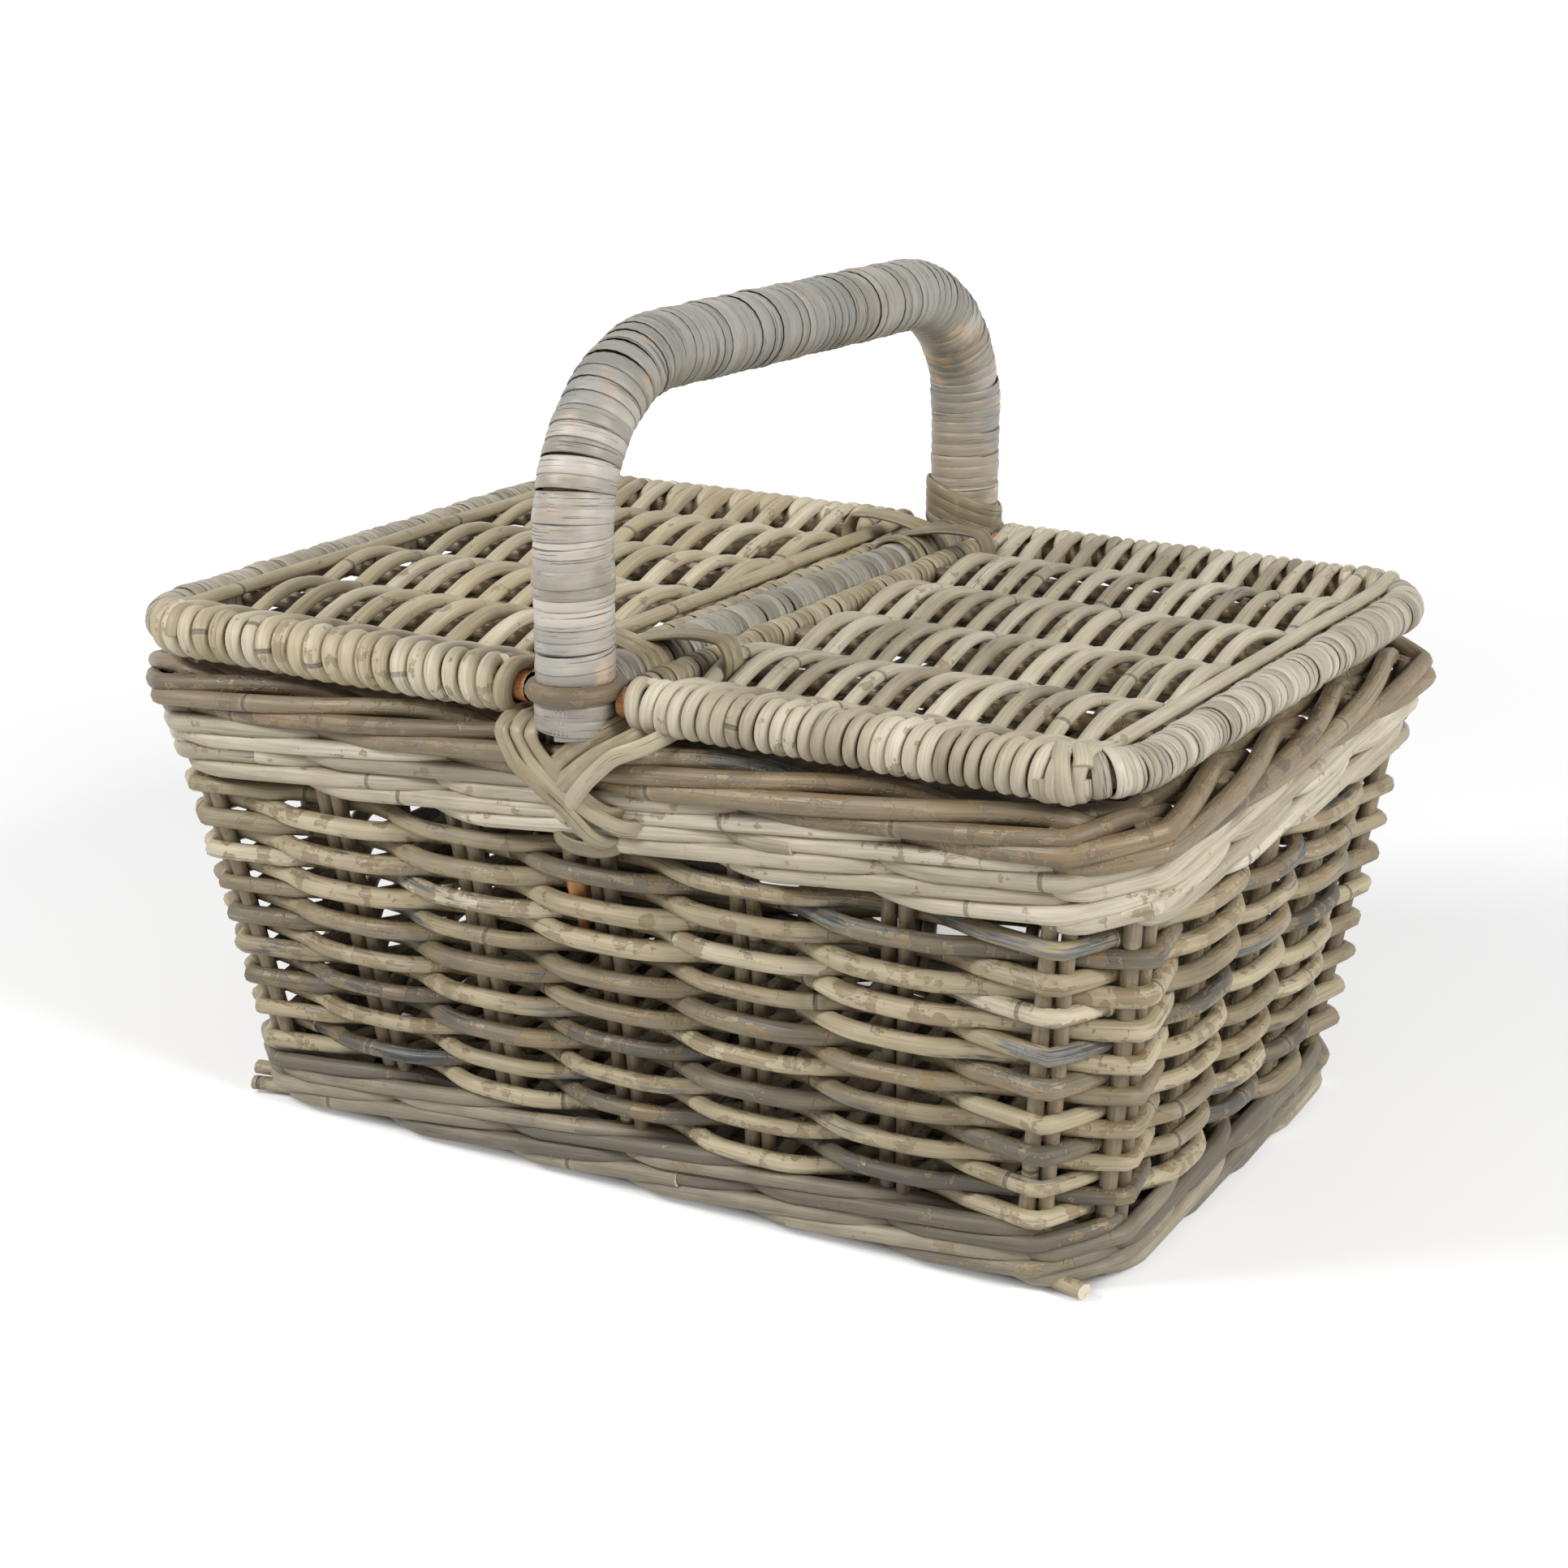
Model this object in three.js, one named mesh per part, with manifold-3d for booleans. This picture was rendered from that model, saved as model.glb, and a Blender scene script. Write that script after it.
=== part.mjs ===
// Picnic basket of round grey rattan: a tapered woven body on upright stakes, a fixed wound handle,
// a wound crossbar between the handle's legs, and two woven lids that swing up beside the crossbar.
// Millimetres, +Z up, +X along the long side, the front is -Y, the origin is under the middle of the foot.

import * as THREE from 'three';
import { mergeVertices } from 'three/addons/utils/BufferGeometryUtils.js';
import Module from 'manifold-3d';

const wasm = await Module();
wasm.setup();

// Driving dimensions: gaps
const CLEARANCE = 0.3;
const HINGE_GAP = 2.2;
const LOOP_SLACK = 0.8;

// Driving dimensions: woven body
const BASE_LENGTH = 436;
const BASE_WIDTH = 272;
const RIM_LENGTH = 490;
const RIM_WIDTH = 342;
const FOOT_HEIGHT = 29;
const WALL_TOP = 198;
const BORDER_HEIGHT = 14;
const WALL_THICKNESS = 27;
const CORNER_RADIUS = 24;
const EDGE_ROUND = 4;
const ROW_COUNT = 17;
const ROW_PITCH = 7.6;
const WALE_COUNT = 3;
const WALE_DEPTH = 2.5;
const STRAND_GAP = 0.5;
const BASE_LIFT = 1;
const BASE_THICKNESS = 12;

// Driving dimensions: upright stakes, two to a pair
const STAKE_DIAMETER = 7;
const LONG_STAKE_COUNT = 7;
const SHORT_STAKE_COUNT = 5;
const CORNER_TO_STAKE = 36;

// Driving dimensions: handle
const LEG_STANDOFF = -6;
const HANDLE_TOP = 353;
const HANDLE_BEND = 65;
const HANDLE_CORE = 26;
const HANDLE_DIAMETER = 32.5;
const HANDLE_LOOPS = 24;
const WRAP_GAP = 1.6;
const SHOULDER_HEIGHT = 10;
const COLLAR_HEIGHT = 9;
const TONGUE_DEPTH = 97;
const TONGUE_WIDTH = 9;
const TONGUE_THICKNESS = 8;
const TONGUE_TIP = 2;
const TONGUE_OFFSET = 13;

// Driving dimensions: crossed lashings over the rim
const LASHING_WIDTH = 15;
const LASHING_SPREAD = 56;
const LASHING_RISE = 52;
const LASHING_THICKNESS = 2.5;

// Driving dimensions: crossbar and hinge loops
const CROSSBAR_CORE = 15;
const CROSSBAR_DIAMETER = 20;
const CROSSBAR_LOOPS = 16;
const LOOP_WIDTH = 7;
const LOOP_THICKNESS = 2.4;
const LEFT_LOOP_OFFSET = 28;
const RIGHT_LOOP_OFFSET = 16;

// Driving dimensions: lids
const LID_END_OVERHANG = -5;
const LID_SIDE_OVERHANG = 0.5;
const LID_THICKNESS = 23;
const LID_ROD = 12;
const LID_BEND = 30;
const INNER_ROD = 10;
const RIB_DIAMETER = 6.5;
const RIB_COUNT = 4;
const LEFT_STRANDS = 20;
const RIGHT_STRANDS = 28;
const LOOP_DEPTH = 1.6;
const END_WRAP = 20;
const END_LOOPS = 12;
const OPEN_ANGLE = Math.PI / 2;

// Facets
const ROUND_SIDES = 10;
const ROLL_SIDES = 8;
const WRAP_STEPS = 8;
const BEND_STEPS = 5;
const CORNER_STEPS = 4;

// Colours of the rattan
const TAUPE = { color: 0x857762, roughness: 0.62, metalness: 0 };
const STRAW = { color: 0xa5967d, roughness: 0.6, metalness: 0 };
const BROWN = { color: 0x6f5e4b, roughness: 0.45, metalness: 0 };
const SILVER = { color: 0x948b80, roughness: 0.55, metalness: 0 };

// Sizes, heights and places that follow from the driving dimensions
const handleSpan = RIM_WIDTH + 2 * LEG_STANDOFF;
const lidLength = RIM_LENGTH + 2 * LID_END_OVERHANG;
const lidWidth = RIM_WIDTH + 2 * LID_SIDE_OVERHANG;
const borderBottom = WALL_TOP + CLEARANCE;
const borderTop = borderBottom + BORDER_HEIGHT;
const lidBottom = borderTop + CLEARANCE;
const lidMiddle = lidBottom + LID_THICKNESS / 2;
const lidTop = lidBottom + LID_THICKNESS;
const legBottom = borderTop + CLEARANCE;
const collarBottom = legBottom + SHOULDER_HEIGHT + CLEARANCE;
const collarTop = collarBottom + COLLAR_HEIGHT;
const hinge = new THREE.Vector2(HANDLE_DIAMETER / 2 + HINGE_GAP, lidTop + CLEARANCE);
const innerRodPlace = CROSSBAR_DIAMETER / 2 + LOOP_THICKNESS + 2 * CLEARANCE + INNER_ROD / 2;
const panelStart = Math.max(innerRodPlace + INNER_ROD / 2, hinge.x) + CLEARANCE;
const rodEdge = lidWidth / 2 - LID_THICKNESS / 2;
const rodEnd = lidLength / 2 - END_WRAP / 2;
const ribSpacing = (2 * rodEdge) / (RIB_COUNT + 1);
const outerRibPlace = rodEdge - ribSpacing;

const basket = new THREE.Group();

function addPiece(name, geometry, look) {
  const mesh = new THREE.Mesh(geometry, new THREE.MeshStandardMaterial(look));
  mesh.name = name;
  basket.add(mesh);
}

// Closed geometry from rings of points that all have the same count; flat ends, or joined end to end
function loft(rings, joined = false) {
  const count = rings[0].length;
  const positions = rings.flat().flatMap((point) => [point.x, point.y, point.z]);
  const index = [];
  const spans = joined ? rings.length : rings.length - 1;
  for (let i = 0; i < spans; i += 1) {
    const here = i * count;
    const next = ((i + 1) % rings.length) * count;
    for (let j = 0; j < count; j += 1) {
      const k = (j + 1) % count;
      index.push(here + j, here + k, next + k, here + j, next + k, next + j);
    }
  }
  if (!joined) {
    const last = (rings.length - 1) * count;
    for (let j = 1; j < count - 1; j += 1) {
      index.push(0, j + 1, j, last, last + j, last + j + 1);
    }
  }
  const geometry = new THREE.BufferGeometry();
  geometry.setAttribute('position', new THREE.Float32BufferAttribute(positions, 3));
  geometry.setIndex(index);
  return faceOutward(geometry);
}

function faceOutward(geometry) {
  const position = geometry.attributes.position;
  const corners = [0, 1, 2].map(() => new THREE.Vector3());
  let volume = 0;
  for (let i = 0; i < geometry.index.count; i += 3) {
    corners.forEach((corner, k) => corner.fromBufferAttribute(position, geometry.index.getX(i + k)));
    volume += corners[0].dot(corners[1].cross(corners[2]));
  }
  if (volume < 0) {
    geometry.index.array.reverse();
  }
  return geometry;
}

function toSolid(geometry) {
  const bare = new THREE.BufferGeometry();
  bare.setAttribute('position', geometry.attributes.position);
  bare.setIndex(geometry.index);
  const merged = mergeVertices(bare);
  return new wasm.Manifold(new wasm.Mesh({
    numProp: 3,
    vertProperties: new Float32Array(merged.attributes.position.array),
    triVerts: new Uint32Array(merged.index.array),
  }));
}

function toGeometry(solid) {
  const mesh = solid.getMesh();
  const geometry = new THREE.BufferGeometry();
  geometry.setAttribute('position', new THREE.BufferAttribute(new Float32Array(mesh.vertProperties), 3));
  geometry.setIndex(new THREE.BufferAttribute(new Uint32Array(mesh.triVerts), 1));
  return geometry;
}

function cut(geometry, tools) {
  return tools.reduce((left, tool) => left.subtract(toSolid(tool)), toSolid(geometry));
}

function together(solids) {
  return toGeometry(solids.reduce((left, right) => left.add(right)));
}

// Half the thickness of a strand that passes rods by turns on either side, in the room on one side of them
function strandHalf(room, rodDiameter, spacing) {
  const slope = (1.5 * rodDiameter) / spacing;
  return (room * (1 - slope) - rodDiameter / 2 - CLEARANCE) / (2 - slope);
}

// Outline of two rods side by side, as [along, across] pairs
function pairOutline(diameter) {
  const radius = diameter / 2;
  const points = [];
  for (const side of [1, -1]) {
    for (let i = 0; i <= CORNER_STEPS; i += 1) {
      const angle = Math.PI * (i / CORNER_STEPS - side / 2);
      points.push([side * radius + radius * Math.cos(angle), radius * Math.sin(angle)]);
    }
  }
  return points;
}

// Woven body
// Outside half sizes of the tapered body at a height
function bodyHalf(z) {
  const share = z / WALL_TOP;
  return {
    x: THREE.MathUtils.lerp(BASE_LENGTH, RIM_LENGTH, share) / 2,
    y: THREE.MathUtils.lerp(BASE_WIDTH, RIM_WIDTH, share) / 2,
  };
}

// Each wall places a point by its run along the wall, its distance outward and its height. The lowest row of
// weave is outside the first stakes of a long wall and inside those of a short one
const walls = {
  front: { long: true, first: 0, place: (along, out, z) => new THREE.Vector3(along, -out, z) },
  right: { long: false, first: 1, place: (along, out, z) => new THREE.Vector3(out, along, z) },
  back: { long: true, first: 0, place: (along, out, z) => new THREE.Vector3(-along, out, z) },
  left: { long: false, first: 1, place: (along, out, z) => new THREE.Vector3(-out, -along, z) },
};
for (const wall of Object.values(walls)) {
  wall.stakes = wall.long ? LONG_STAKE_COUNT : SHORT_STAKE_COUNT;
}

function wallHalf(wall, z) {
  const half = bodyHalf(z);
  return wall.long ? { along: half.x, out: half.y } : { along: half.y, out: half.x };
}

// One level of a wall: a mitred slab whose outer corners are rounded
function wallSection(wall, z, inset) {
  const half = wallHalf(wall, z);
  const outer = { along: half.along - inset - mitre, out: half.out - inset };
  const inner = {
    along: half.along - WALL_THICKNESS + inset - mitre,
    out: half.out - WALL_THICKNESS + inset,
  };
  const steps = CORNER_STEPS / 2;
  const points = [wall.place(-inner.along, inner.out, z)];
  for (const side of [-1, 1]) {
    for (let i = 0; i <= steps; i += 1) {
      const lean = (Math.PI / 4) * (side < 0 ? 1 - i / steps : i / steps);
      const along = side * (outer.along - CORNER_RADIUS + CORNER_RADIUS * Math.sin(lean));
      points.push(wall.place(along, outer.out - CORNER_RADIUS + CORNER_RADIUS * Math.cos(lean), z));
    }
  }
  points.push(wall.place(inner.along, inner.out, z));
  return points;
}

const wallBottom = FOOT_HEIGHT + CLEARANCE;
const waleBottom = wallBottom + ROW_COUNT * ROW_PITCH - 2 * STRAND_GAP;
const mitre = CLEARANCE / Math.SQRT2;

// The waling under the rim is a ridged band, pressed down on the highest row of weave
function walingBand(wall) {
  const levels = 2 * WALE_COUNT;
  const rings = [];
  for (let i = 0; i <= levels; i += 1) {
    const z = THREE.MathUtils.lerp(waleBottom, WALL_TOP, i / levels);
    rings.push(wallSection(wall, z, i % 2 ? 0 : WALE_DEPTH));
  }
  return loft(rings);
}

// A pair of stakes leans with its wall, half way through the wall's thickness
function stakePlace(wall, number, z) {
  const middle = (wall.stakes - 1) / 2;
  const half = wallHalf(wall, z);
  return {
    along: ((number - middle) * (half.along - CORNER_TO_STAKE)) / middle,
    out: half.out - WALL_THICKNESS / 2,
  };
}

function stakeUpright(wall, number, outline, overrun) {
  return loft([wallBottom - overrun, WALL_TOP + overrun].map((z) => {
    const { along, out } = stakePlace(wall, number, z);
    return outline.map(([a, b]) => wall.place(along + a, out + b, z));
  }));
}

const stakeOutline = pairOutline(STAKE_DIAMETER);
const stakeRoom = { along: STAKE_DIAMETER + CLEARANCE, out: STAKE_DIAMETER / 2 + CLEARANCE };
const squareCorners = [[-1, -1], [1, -1], [1, 1], [-1, 1]];
const stakeHole = squareCorners.map(([a, b]) => [a * stakeRoom.along, b * stakeRoom.out]);

// One unbroken strand goes to and fro in each wall. A row passes outside and inside the stakes by turns, then
// the strand goes round the corner stakes to the row above
const narrowBay = Math.min(...Object.values(walls).map((wall) => (
  stakePlace(wall, 1, wallBottom).along - stakePlace(wall, 0, wallBottom).along
)));
const rowHalf = {
  out: strandHalf(WALL_THICKNESS / 2, STAKE_DIAMETER, narrowBay),
  up: (ROW_PITCH - STRAND_GAP) / 2,
};
const rowReach = WALL_THICKNESS / 2 - rowHalf.out;
const cornerCut = Math.min(WALL_THICKNESS, CORNER_TO_STAKE - STAKE_DIAMETER - CLEARANCE) - rowHalf.out;

function wallWeaver(wall) {
  const rings = [];
  for (let row = 0; row < ROW_COUNT; row += 1) {
    const z = wallBottom + (row + 0.5) * ROW_PITCH;
    const half = wallHalf(wall, z);
    const way = row % 2 ? -1 : 1;
    const side = (number) => ((number + row + wall.first) % 2 ? -1 : 1);
    const ring = (along, number, shear) => {
      const out = half.out - WALL_THICKNESS / 2 + side(number) * rowReach;
      const thick = way * rowHalf.out;
      return [
        wall.place(along + shear * thick, out + thick, z),
        wall.place(along, out, z + rowHalf.up),
        wall.place(along - shear * thick, out - thick, z),
        wall.place(along, out, z - rowHalf.up),
      ];
    };
    const corner = (number, turn) => {
      const outside = side(number) > 0;
      const along = turn * (half.along - (outside ? cornerCut : WALL_THICKNESS) - mitre);
      return ring(along, number, outside ? turn : 0);
    };
    const passing = Array.from({ length: wall.stakes }, (_, number) => (
      ring(stakePlace(wall, number, z).along, number, 0)
    ));
    const across = [corner(0, -1), ...passing, corner(wall.stakes - 1, 1)];
    rings.push(...(way > 0 ? across : across.reverse()));
  }
  return loft(rings);
}

// The pointed end of the handle's core, driven down beside the middle stakes
function tongueSection(wall, z, width, thickness) {
  const out = wallHalf(wall, z).out - WALL_THICKNESS / 2;
  return squareCorners.map(([a, b]) => (
    wall.place(-TONGUE_OFFSET + (a * width) / 2, out + (b * thickness) / 2, z)
  ));
}

// A straight slot that the tongue is driven into
function tongueHole(wall) {
  const grow = 2 * CLEARANCE;
  return loft([legBottom + CLEARANCE, borderTop - TONGUE_DEPTH - CLEARANCE].map((z) => (
    tongueSection(wall, z, TONGUE_WIDTH + grow, TONGUE_THICKNESS + grow)
  )));
}

for (const [name, wall] of Object.entries(walls)) {
  const slots = wall.long ? [tongueHole(wall)] : [];
  const holes = [...slots];
  for (let number = 0; number < wall.stakes; number += 1) {
    addPiece(`stake_pair_${name}_${number + 1}`, stakeUpright(wall, number, stakeOutline, 0), TAUPE);
    holes.push(stakeUpright(wall, number, stakeHole, WALL_THICKNESS));
  }
  const woven = cut(wallWeaver(wall), slots);
  addPiece(`wall_weave_${name}`, together([cut(walingBand(wall), holes), woven]), TAUPE);
}

// A border runs right round the basket, with a flat foot and a flat top and rounded edges
function borderRing(bottom, top, halfAt) {
  const inset = [EDGE_ROUND, 0, 0, EDGE_ROUND];
  const heights = [bottom, bottom + EDGE_ROUND, top - EDGE_ROUND, top];
  const outside = inset.map((value, i) => ({ inset: value, z: heights[i] }));
  const inside = inset.map((value, i) => ({ inset: WALL_THICKNESS - value, z: heights[i] })).reverse();
  const rings = [];
  for (const [corner, [signX, signY]] of [[1, 1], [-1, 1], [-1, -1], [1, -1]].entries()) {
    for (let i = 0; i <= CORNER_STEPS; i += 1) {
      const angle = ((corner + i / CORNER_STEPS) * Math.PI) / 2;
      rings.push([...outside, ...inside].map((edge) => {
        const half = halfAt(edge.z);
        const radius = Math.max(CORNER_RADIUS - edge.inset, EDGE_ROUND);
        const x = signX * (half.x - edge.inset - radius) + radius * Math.cos(angle);
        const y = signY * (half.y - edge.inset - radius) + radius * Math.sin(angle);
        return new THREE.Vector3(x, y, edge.z);
      }));
    }
  }
  return loft(rings, true);
}

addPiece('foot_border', borderRing(0, FOOT_HEIGHT, bodyHalf), STRAW);
const rimRing = borderRing(borderBottom, borderTop, () => bodyHalf(WALL_TOP));
addPiece('rim_border', toGeometry(cut(rimRing, [tongueHole(walls.front), tongueHole(walls.back)])), BROWN);

// The base mat fills the foot border
function baseMat() {
  const half = bodyHalf(EDGE_ROUND);
  const x = half.x - WALL_THICKNESS - CLEARANCE;
  const y = half.y - WALL_THICKNESS - CLEARANCE;
  const outline = new THREE.Shape();
  for (const [quarter, [signX, signY]] of [[1, 1], [-1, 1], [-1, -1], [1, -1]].entries()) {
    const start = (quarter * Math.PI) / 2;
    const end = start + Math.PI / 2;
    outline.absarc(signX * (x - EDGE_ROUND), signY * (y - EDGE_ROUND), EDGE_ROUND, start, end);
  }
  const options = { depth: BASE_THICKNESS, bevelEnabled: false, curveSegments: CORNER_STEPS };
  return new THREE.ExtrudeGeometry(outline, options).translate(0, 0, BASE_LIFT);
}

addPiece('base_mat', baseMat(), TAUPE);

// Bent rods and windings
// A bent rod goes up one leg, round a bend, along its span, round a bend and down the other leg
function archPath(span, rise, bend) {
  const leg = rise - bend;
  const arc = (bend * Math.PI) / 2;
  const top = span - 2 * bend;
  const length = 2 * (leg + arc) + top;
  const place = (s) => {
    if (s <= leg) {
      return { u: -span / 2, v: s, heading: Math.PI / 2 };
    }
    if (s <= leg + arc) {
      const turn = (s - leg) / bend;
      const u = -span / 2 + bend * (1 - Math.cos(turn));
      return { u, v: leg + bend * Math.sin(turn), heading: Math.PI / 2 - turn };
    }
    if (s <= leg + arc + top) {
      return { u: -span / 2 + bend + s - leg - arc, v: rise, heading: 0 };
    }
    const far = place(length - s);
    return { u: -far.u, v: far.v, heading: -far.heading };
  };
  // A point at a distance along the rod, an angle round it and a distance from its middle
  const point = (s, angle, radius) => {
    const { u, v, heading } = place(s);
    const outward = radius * Math.cos(angle);
    const sideways = radius * Math.sin(angle);
    return { u: u - outward * Math.sin(heading), v: v + outward * Math.cos(heading), w: sideways };
  };
  const bendStarts = [leg, leg + arc + top];
  return { leg, arc, bend, length, point, bendStarts };
}

function roundTube(path, from, to, radius, map) {
  const stations = [from, to];
  for (const start of path.bendStarts) {
    for (let i = 0; i <= BEND_STEPS; i += 1) {
      stations.push(start + (path.arc * i) / BEND_STEPS);
    }
  }
  const inside = stations.filter((s) => s >= from && s <= to).sort((a, b) => a - b);
  return loft(inside.map((s) => Array.from({ length: ROUND_SIDES }, (_, i) => (
    map(path.point(s, (2 * Math.PI * i) / ROUND_SIDES, radius))
  ))));
}

// One flat strand wound round a rod, from one place along it to another, with straight ends
function winding(name, path, map, run, loops, coreDiameter, diameter) {
  const pitch = (run.to - run.from + WRAP_GAP) / (loops + 1);
  const width = pitch - WRAP_GAP;
  const sag = path.bend ? (path.bend + coreDiameter / 2) * (1 - Math.cos(width / 4 / path.bend)) : 0;
  const inner = (coreDiameter / 2 + CLEARANCE + sag) / Math.cos(Math.PI / WRAP_STEPS);
  const outer = diameter / 2;
  const upward = path.bend ? [0, 0.5, 1] : [0, 1];
  const sectionAt = (loop) => {
    const low = run.from + pitch * loop;
    const rise = (radius) => upward.map((share) => (
      map(path.point(low + share * width, 2 * Math.PI * loop, radius))
    ));
    return [...rise(inner), ...rise(outer).reverse()];
  };
  const rings = [];
  for (let i = 0; i <= loops * WRAP_STEPS; i += 1) {
    rings.push(sectionAt(i / WRAP_STEPS));
  }
  reportSelfGap(name, rings);
  const nearby = 0.01;
  const straight = outer - inner;
  const lead = straightOn(sectionAt(nearby), sectionAt(0), straight);
  const tail = straightOn(sectionAt(loops - nearby), sectionAt(loops), straight);
  return loft([lead, ...rings, tail]);
}

// A section carried straight on past the end, in the direction in which the strand arrives there
function straightOn(before, end, distance) {
  return end.map((point, i) => point.clone().add(point.clone().sub(before[i]).setLength(distance)));
}

// The least gap is between one loop's upper edge and the next loop's lower edge
function reportSelfGap(name, rings) {
  let least = Infinity;
  for (let i = 0; i + WRAP_STEPS < rings.length; i += 1) {
    const edge = rings[i].length / 2;
    for (const upper of [rings[i][edge - 1], rings[i][edge]]) {
      for (const lower of [rings[i + WRAP_STEPS][0], rings[i + WRAP_STEPS].at(-1)]) {
        least = Math.min(least, upper.distanceTo(lower));
      }
    }
  }
  console.log(`${name}: least gap between loops ${least.toFixed(2)} mm`);
}

// Handle
const handlePath = archPath(handleSpan, HANDLE_TOP - legBottom, HANDLE_BEND);
const handlePlace = ({ u, v, w }) => new THREE.Vector3(w, u, legBottom + v);

function handleCore() {
  const arch = roundTube(handlePath, 0, handlePath.length, HANDLE_CORE / 2, handlePlace);
  const reach = HANDLE_CORE / 4;
  return toGeometry([walls.front, walls.back].reduce((solid, wall) => {
    const z = legBottom + SHOULDER_HEIGHT;
    const root = squareCorners.map(([a, b]) => (
      wall.place((a - 0.5) * reach, handleSpan / 2 + (b - 0.5) * reach, z)
    ));
    const neck = tongueSection(wall, legBottom, TONGUE_WIDTH, TONGUE_THICKNESS);
    const tip = tongueSection(wall, borderTop - TONGUE_DEPTH, TONGUE_TIP, TONGUE_TIP);
    return solid.add(toSolid(loft([root, neck, tip])));
  }, toSolid(arch)));
}

addPiece('handle_core', handleCore(), BROWN);

const wrapStart = collarTop + WRAP_GAP - legBottom;
const wrapRun = { from: wrapStart, to: handlePath.length - wrapStart };
addPiece(
  'handle_wrap',
  winding('handle_wrap', handlePath, handlePlace, wrapRun, HANDLE_LOOPS, HANDLE_CORE, HANDLE_DIAMETER),
  SILVER,
);

// A rounded ring round the foot of each leg
function collar() {
  const inner = (HANDLE_CORE / 2 + CLEARANCE) / Math.cos(Math.PI / ROUND_SIDES);
  const outer = HANDLE_DIAMETER / 2;
  const soften = (outer - inner) / 3;
  const profile = [
    [inner, 0],
    [outer - soften, 0],
    [outer, soften],
    [outer, COLLAR_HEIGHT - soften],
    [outer - soften, COLLAR_HEIGHT],
    [inner, COLLAR_HEIGHT],
    [inner, 0],
  ];
  const points = profile.map(([radius, height]) => new THREE.Vector2(radius, height));
  return new THREE.LatheGeometry(points, ROUND_SIDES).rotateX(Math.PI / 2);
}

addPiece('collar_front', collar().translate(0, -handleSpan / 2, collarBottom), BROWN);
addPiece('collar_back', collar().translate(0, handleSpan / 2, collarBottom), BROWN);

// Two crossed straps over the rim under each leg
function lashing(wall) {
  const bottom = borderTop - LASHING_RISE;
  const straps = [-1, 1].map((lean) => toSolid(loft([0, LASHING_THICKNESS].map((lift) => {
    const corners = [[-1, -1, bottom], [-1, 1, bottom], [1, 1, borderTop], [1, -1, borderTop]];
    return corners.map(([end, edge, z]) => {
      const along = (lean * end * LASHING_SPREAD + edge * LASHING_WIDTH) / 2;
      return wall.place(along, wallHalf(wall, z).out + CLEARANCE + lift, z);
    });
  }))));
  return toGeometry(straps[0].add(straps[1]));
}

addPiece('lashing_front', lashing(walls.front), STRAW);
addPiece('lashing_back', lashing(walls.back), STRAW);

// Crossbar between the handle's legs
const crossbarLength = handleSpan - HANDLE_DIAMETER - 2 * CLEARANCE;
const crossbarPath = {
  bend: 0,
  point: (s, angle, radius) => ({
    u: s - crossbarLength / 2,
    v: radius * Math.cos(angle),
    w: radius * Math.sin(angle),
  }),
};
const crossbarPlace = ({ u, v, w }) => new THREE.Vector3(v, u, lidMiddle + w);
const crossbarRun = { from: CROSSBAR_CORE / 2, to: crossbarLength - CROSSBAR_CORE / 2 };
const crossbarRadius = CROSSBAR_CORE / 2;
const crossbarCore = new THREE.CylinderGeometry(crossbarRadius, crossbarRadius, crossbarLength, ROUND_SIDES);
addPiece('crossbar_core', crossbarCore.translate(0, 0, lidMiddle), BROWN);
const crossbarSizes = [CROSSBAR_LOOPS, CROSSBAR_CORE, CROSSBAR_DIAMETER];
const crossbarWrap = winding('crossbar_wrap', crossbarPath, crossbarPlace, crossbarRun, ...crossbarSizes);
addPiece('crossbar_wrap', crossbarWrap, SILVER);

// Hinge loops
// The inner rod of a lid swings about the hinge line; this is its middle at an opening angle
function innerRodAt(angle) {
  const rest = new THREE.Vector2(innerRodPlace, lidMiddle);
  return rest.rotateAround(hinge, angle);
}

const loopNear = { middle: new THREE.Vector2(0, lidMiddle), radius: CROSSBAR_DIAMETER / 2 + CLEARANCE };
const halfOpen = innerRodAt(OPEN_ANGLE / 2);
const fullyOpen = innerRodAt(OPEN_ANGLE);
const loopFar = {
  middle: halfOpen.clone().lerp(fullyOpen, 0.5),
  radius: halfOpen.distanceTo(fullyOpen) / 2 + INNER_ROD / 2 + LOOP_SLACK,
};
const loopReach = loopFar.middle.distanceTo(hinge) + loopFar.radius + LOOP_THICKNESS;

// Outline of a belt round the crossbar and round the space that the inner rod swings through
function beltOutline(grow) {
  const between = loopFar.middle.clone().sub(loopNear.middle);
  const spread = Math.acos((loopNear.radius - loopFar.radius) / between.length());
  const ends = [
    { circle: loopFar, start: between.angle() - spread, sweep: 2 * spread },
    { circle: loopNear, start: between.angle() + spread, sweep: 2 * (Math.PI - spread) },
  ];
  const steps = 2 * CORNER_STEPS;
  return ends.flatMap(({ circle, start, sweep }) => Array.from({ length: steps + 1 }, (_, i) => {
    const angle = start + (sweep * i) / steps;
    const radius = (circle.radius + grow) / Math.cos(sweep / steps / 2);
    return new THREE.Vector2(radius * Math.cos(angle), radius * Math.sin(angle)).add(circle.middle);
  }));
}

function hingeLoop(side, place) {
  const outline = new THREE.Shape(beltOutline(LOOP_THICKNESS));
  outline.holes.push(new THREE.Path(beltOutline(0)));
  const options = { depth: LOOP_WIDTH, bevelEnabled: false };
  const geometry = new THREE.ExtrudeGeometry(outline, options).rotateX(Math.PI / 2);
  const turned = side < 0 ? geometry.rotateZ(Math.PI).translate(0, -LOOP_WIDTH, 0) : geometry;
  return turned.translate(0, place + LOOP_WIDTH / 2, 0);
}

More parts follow.
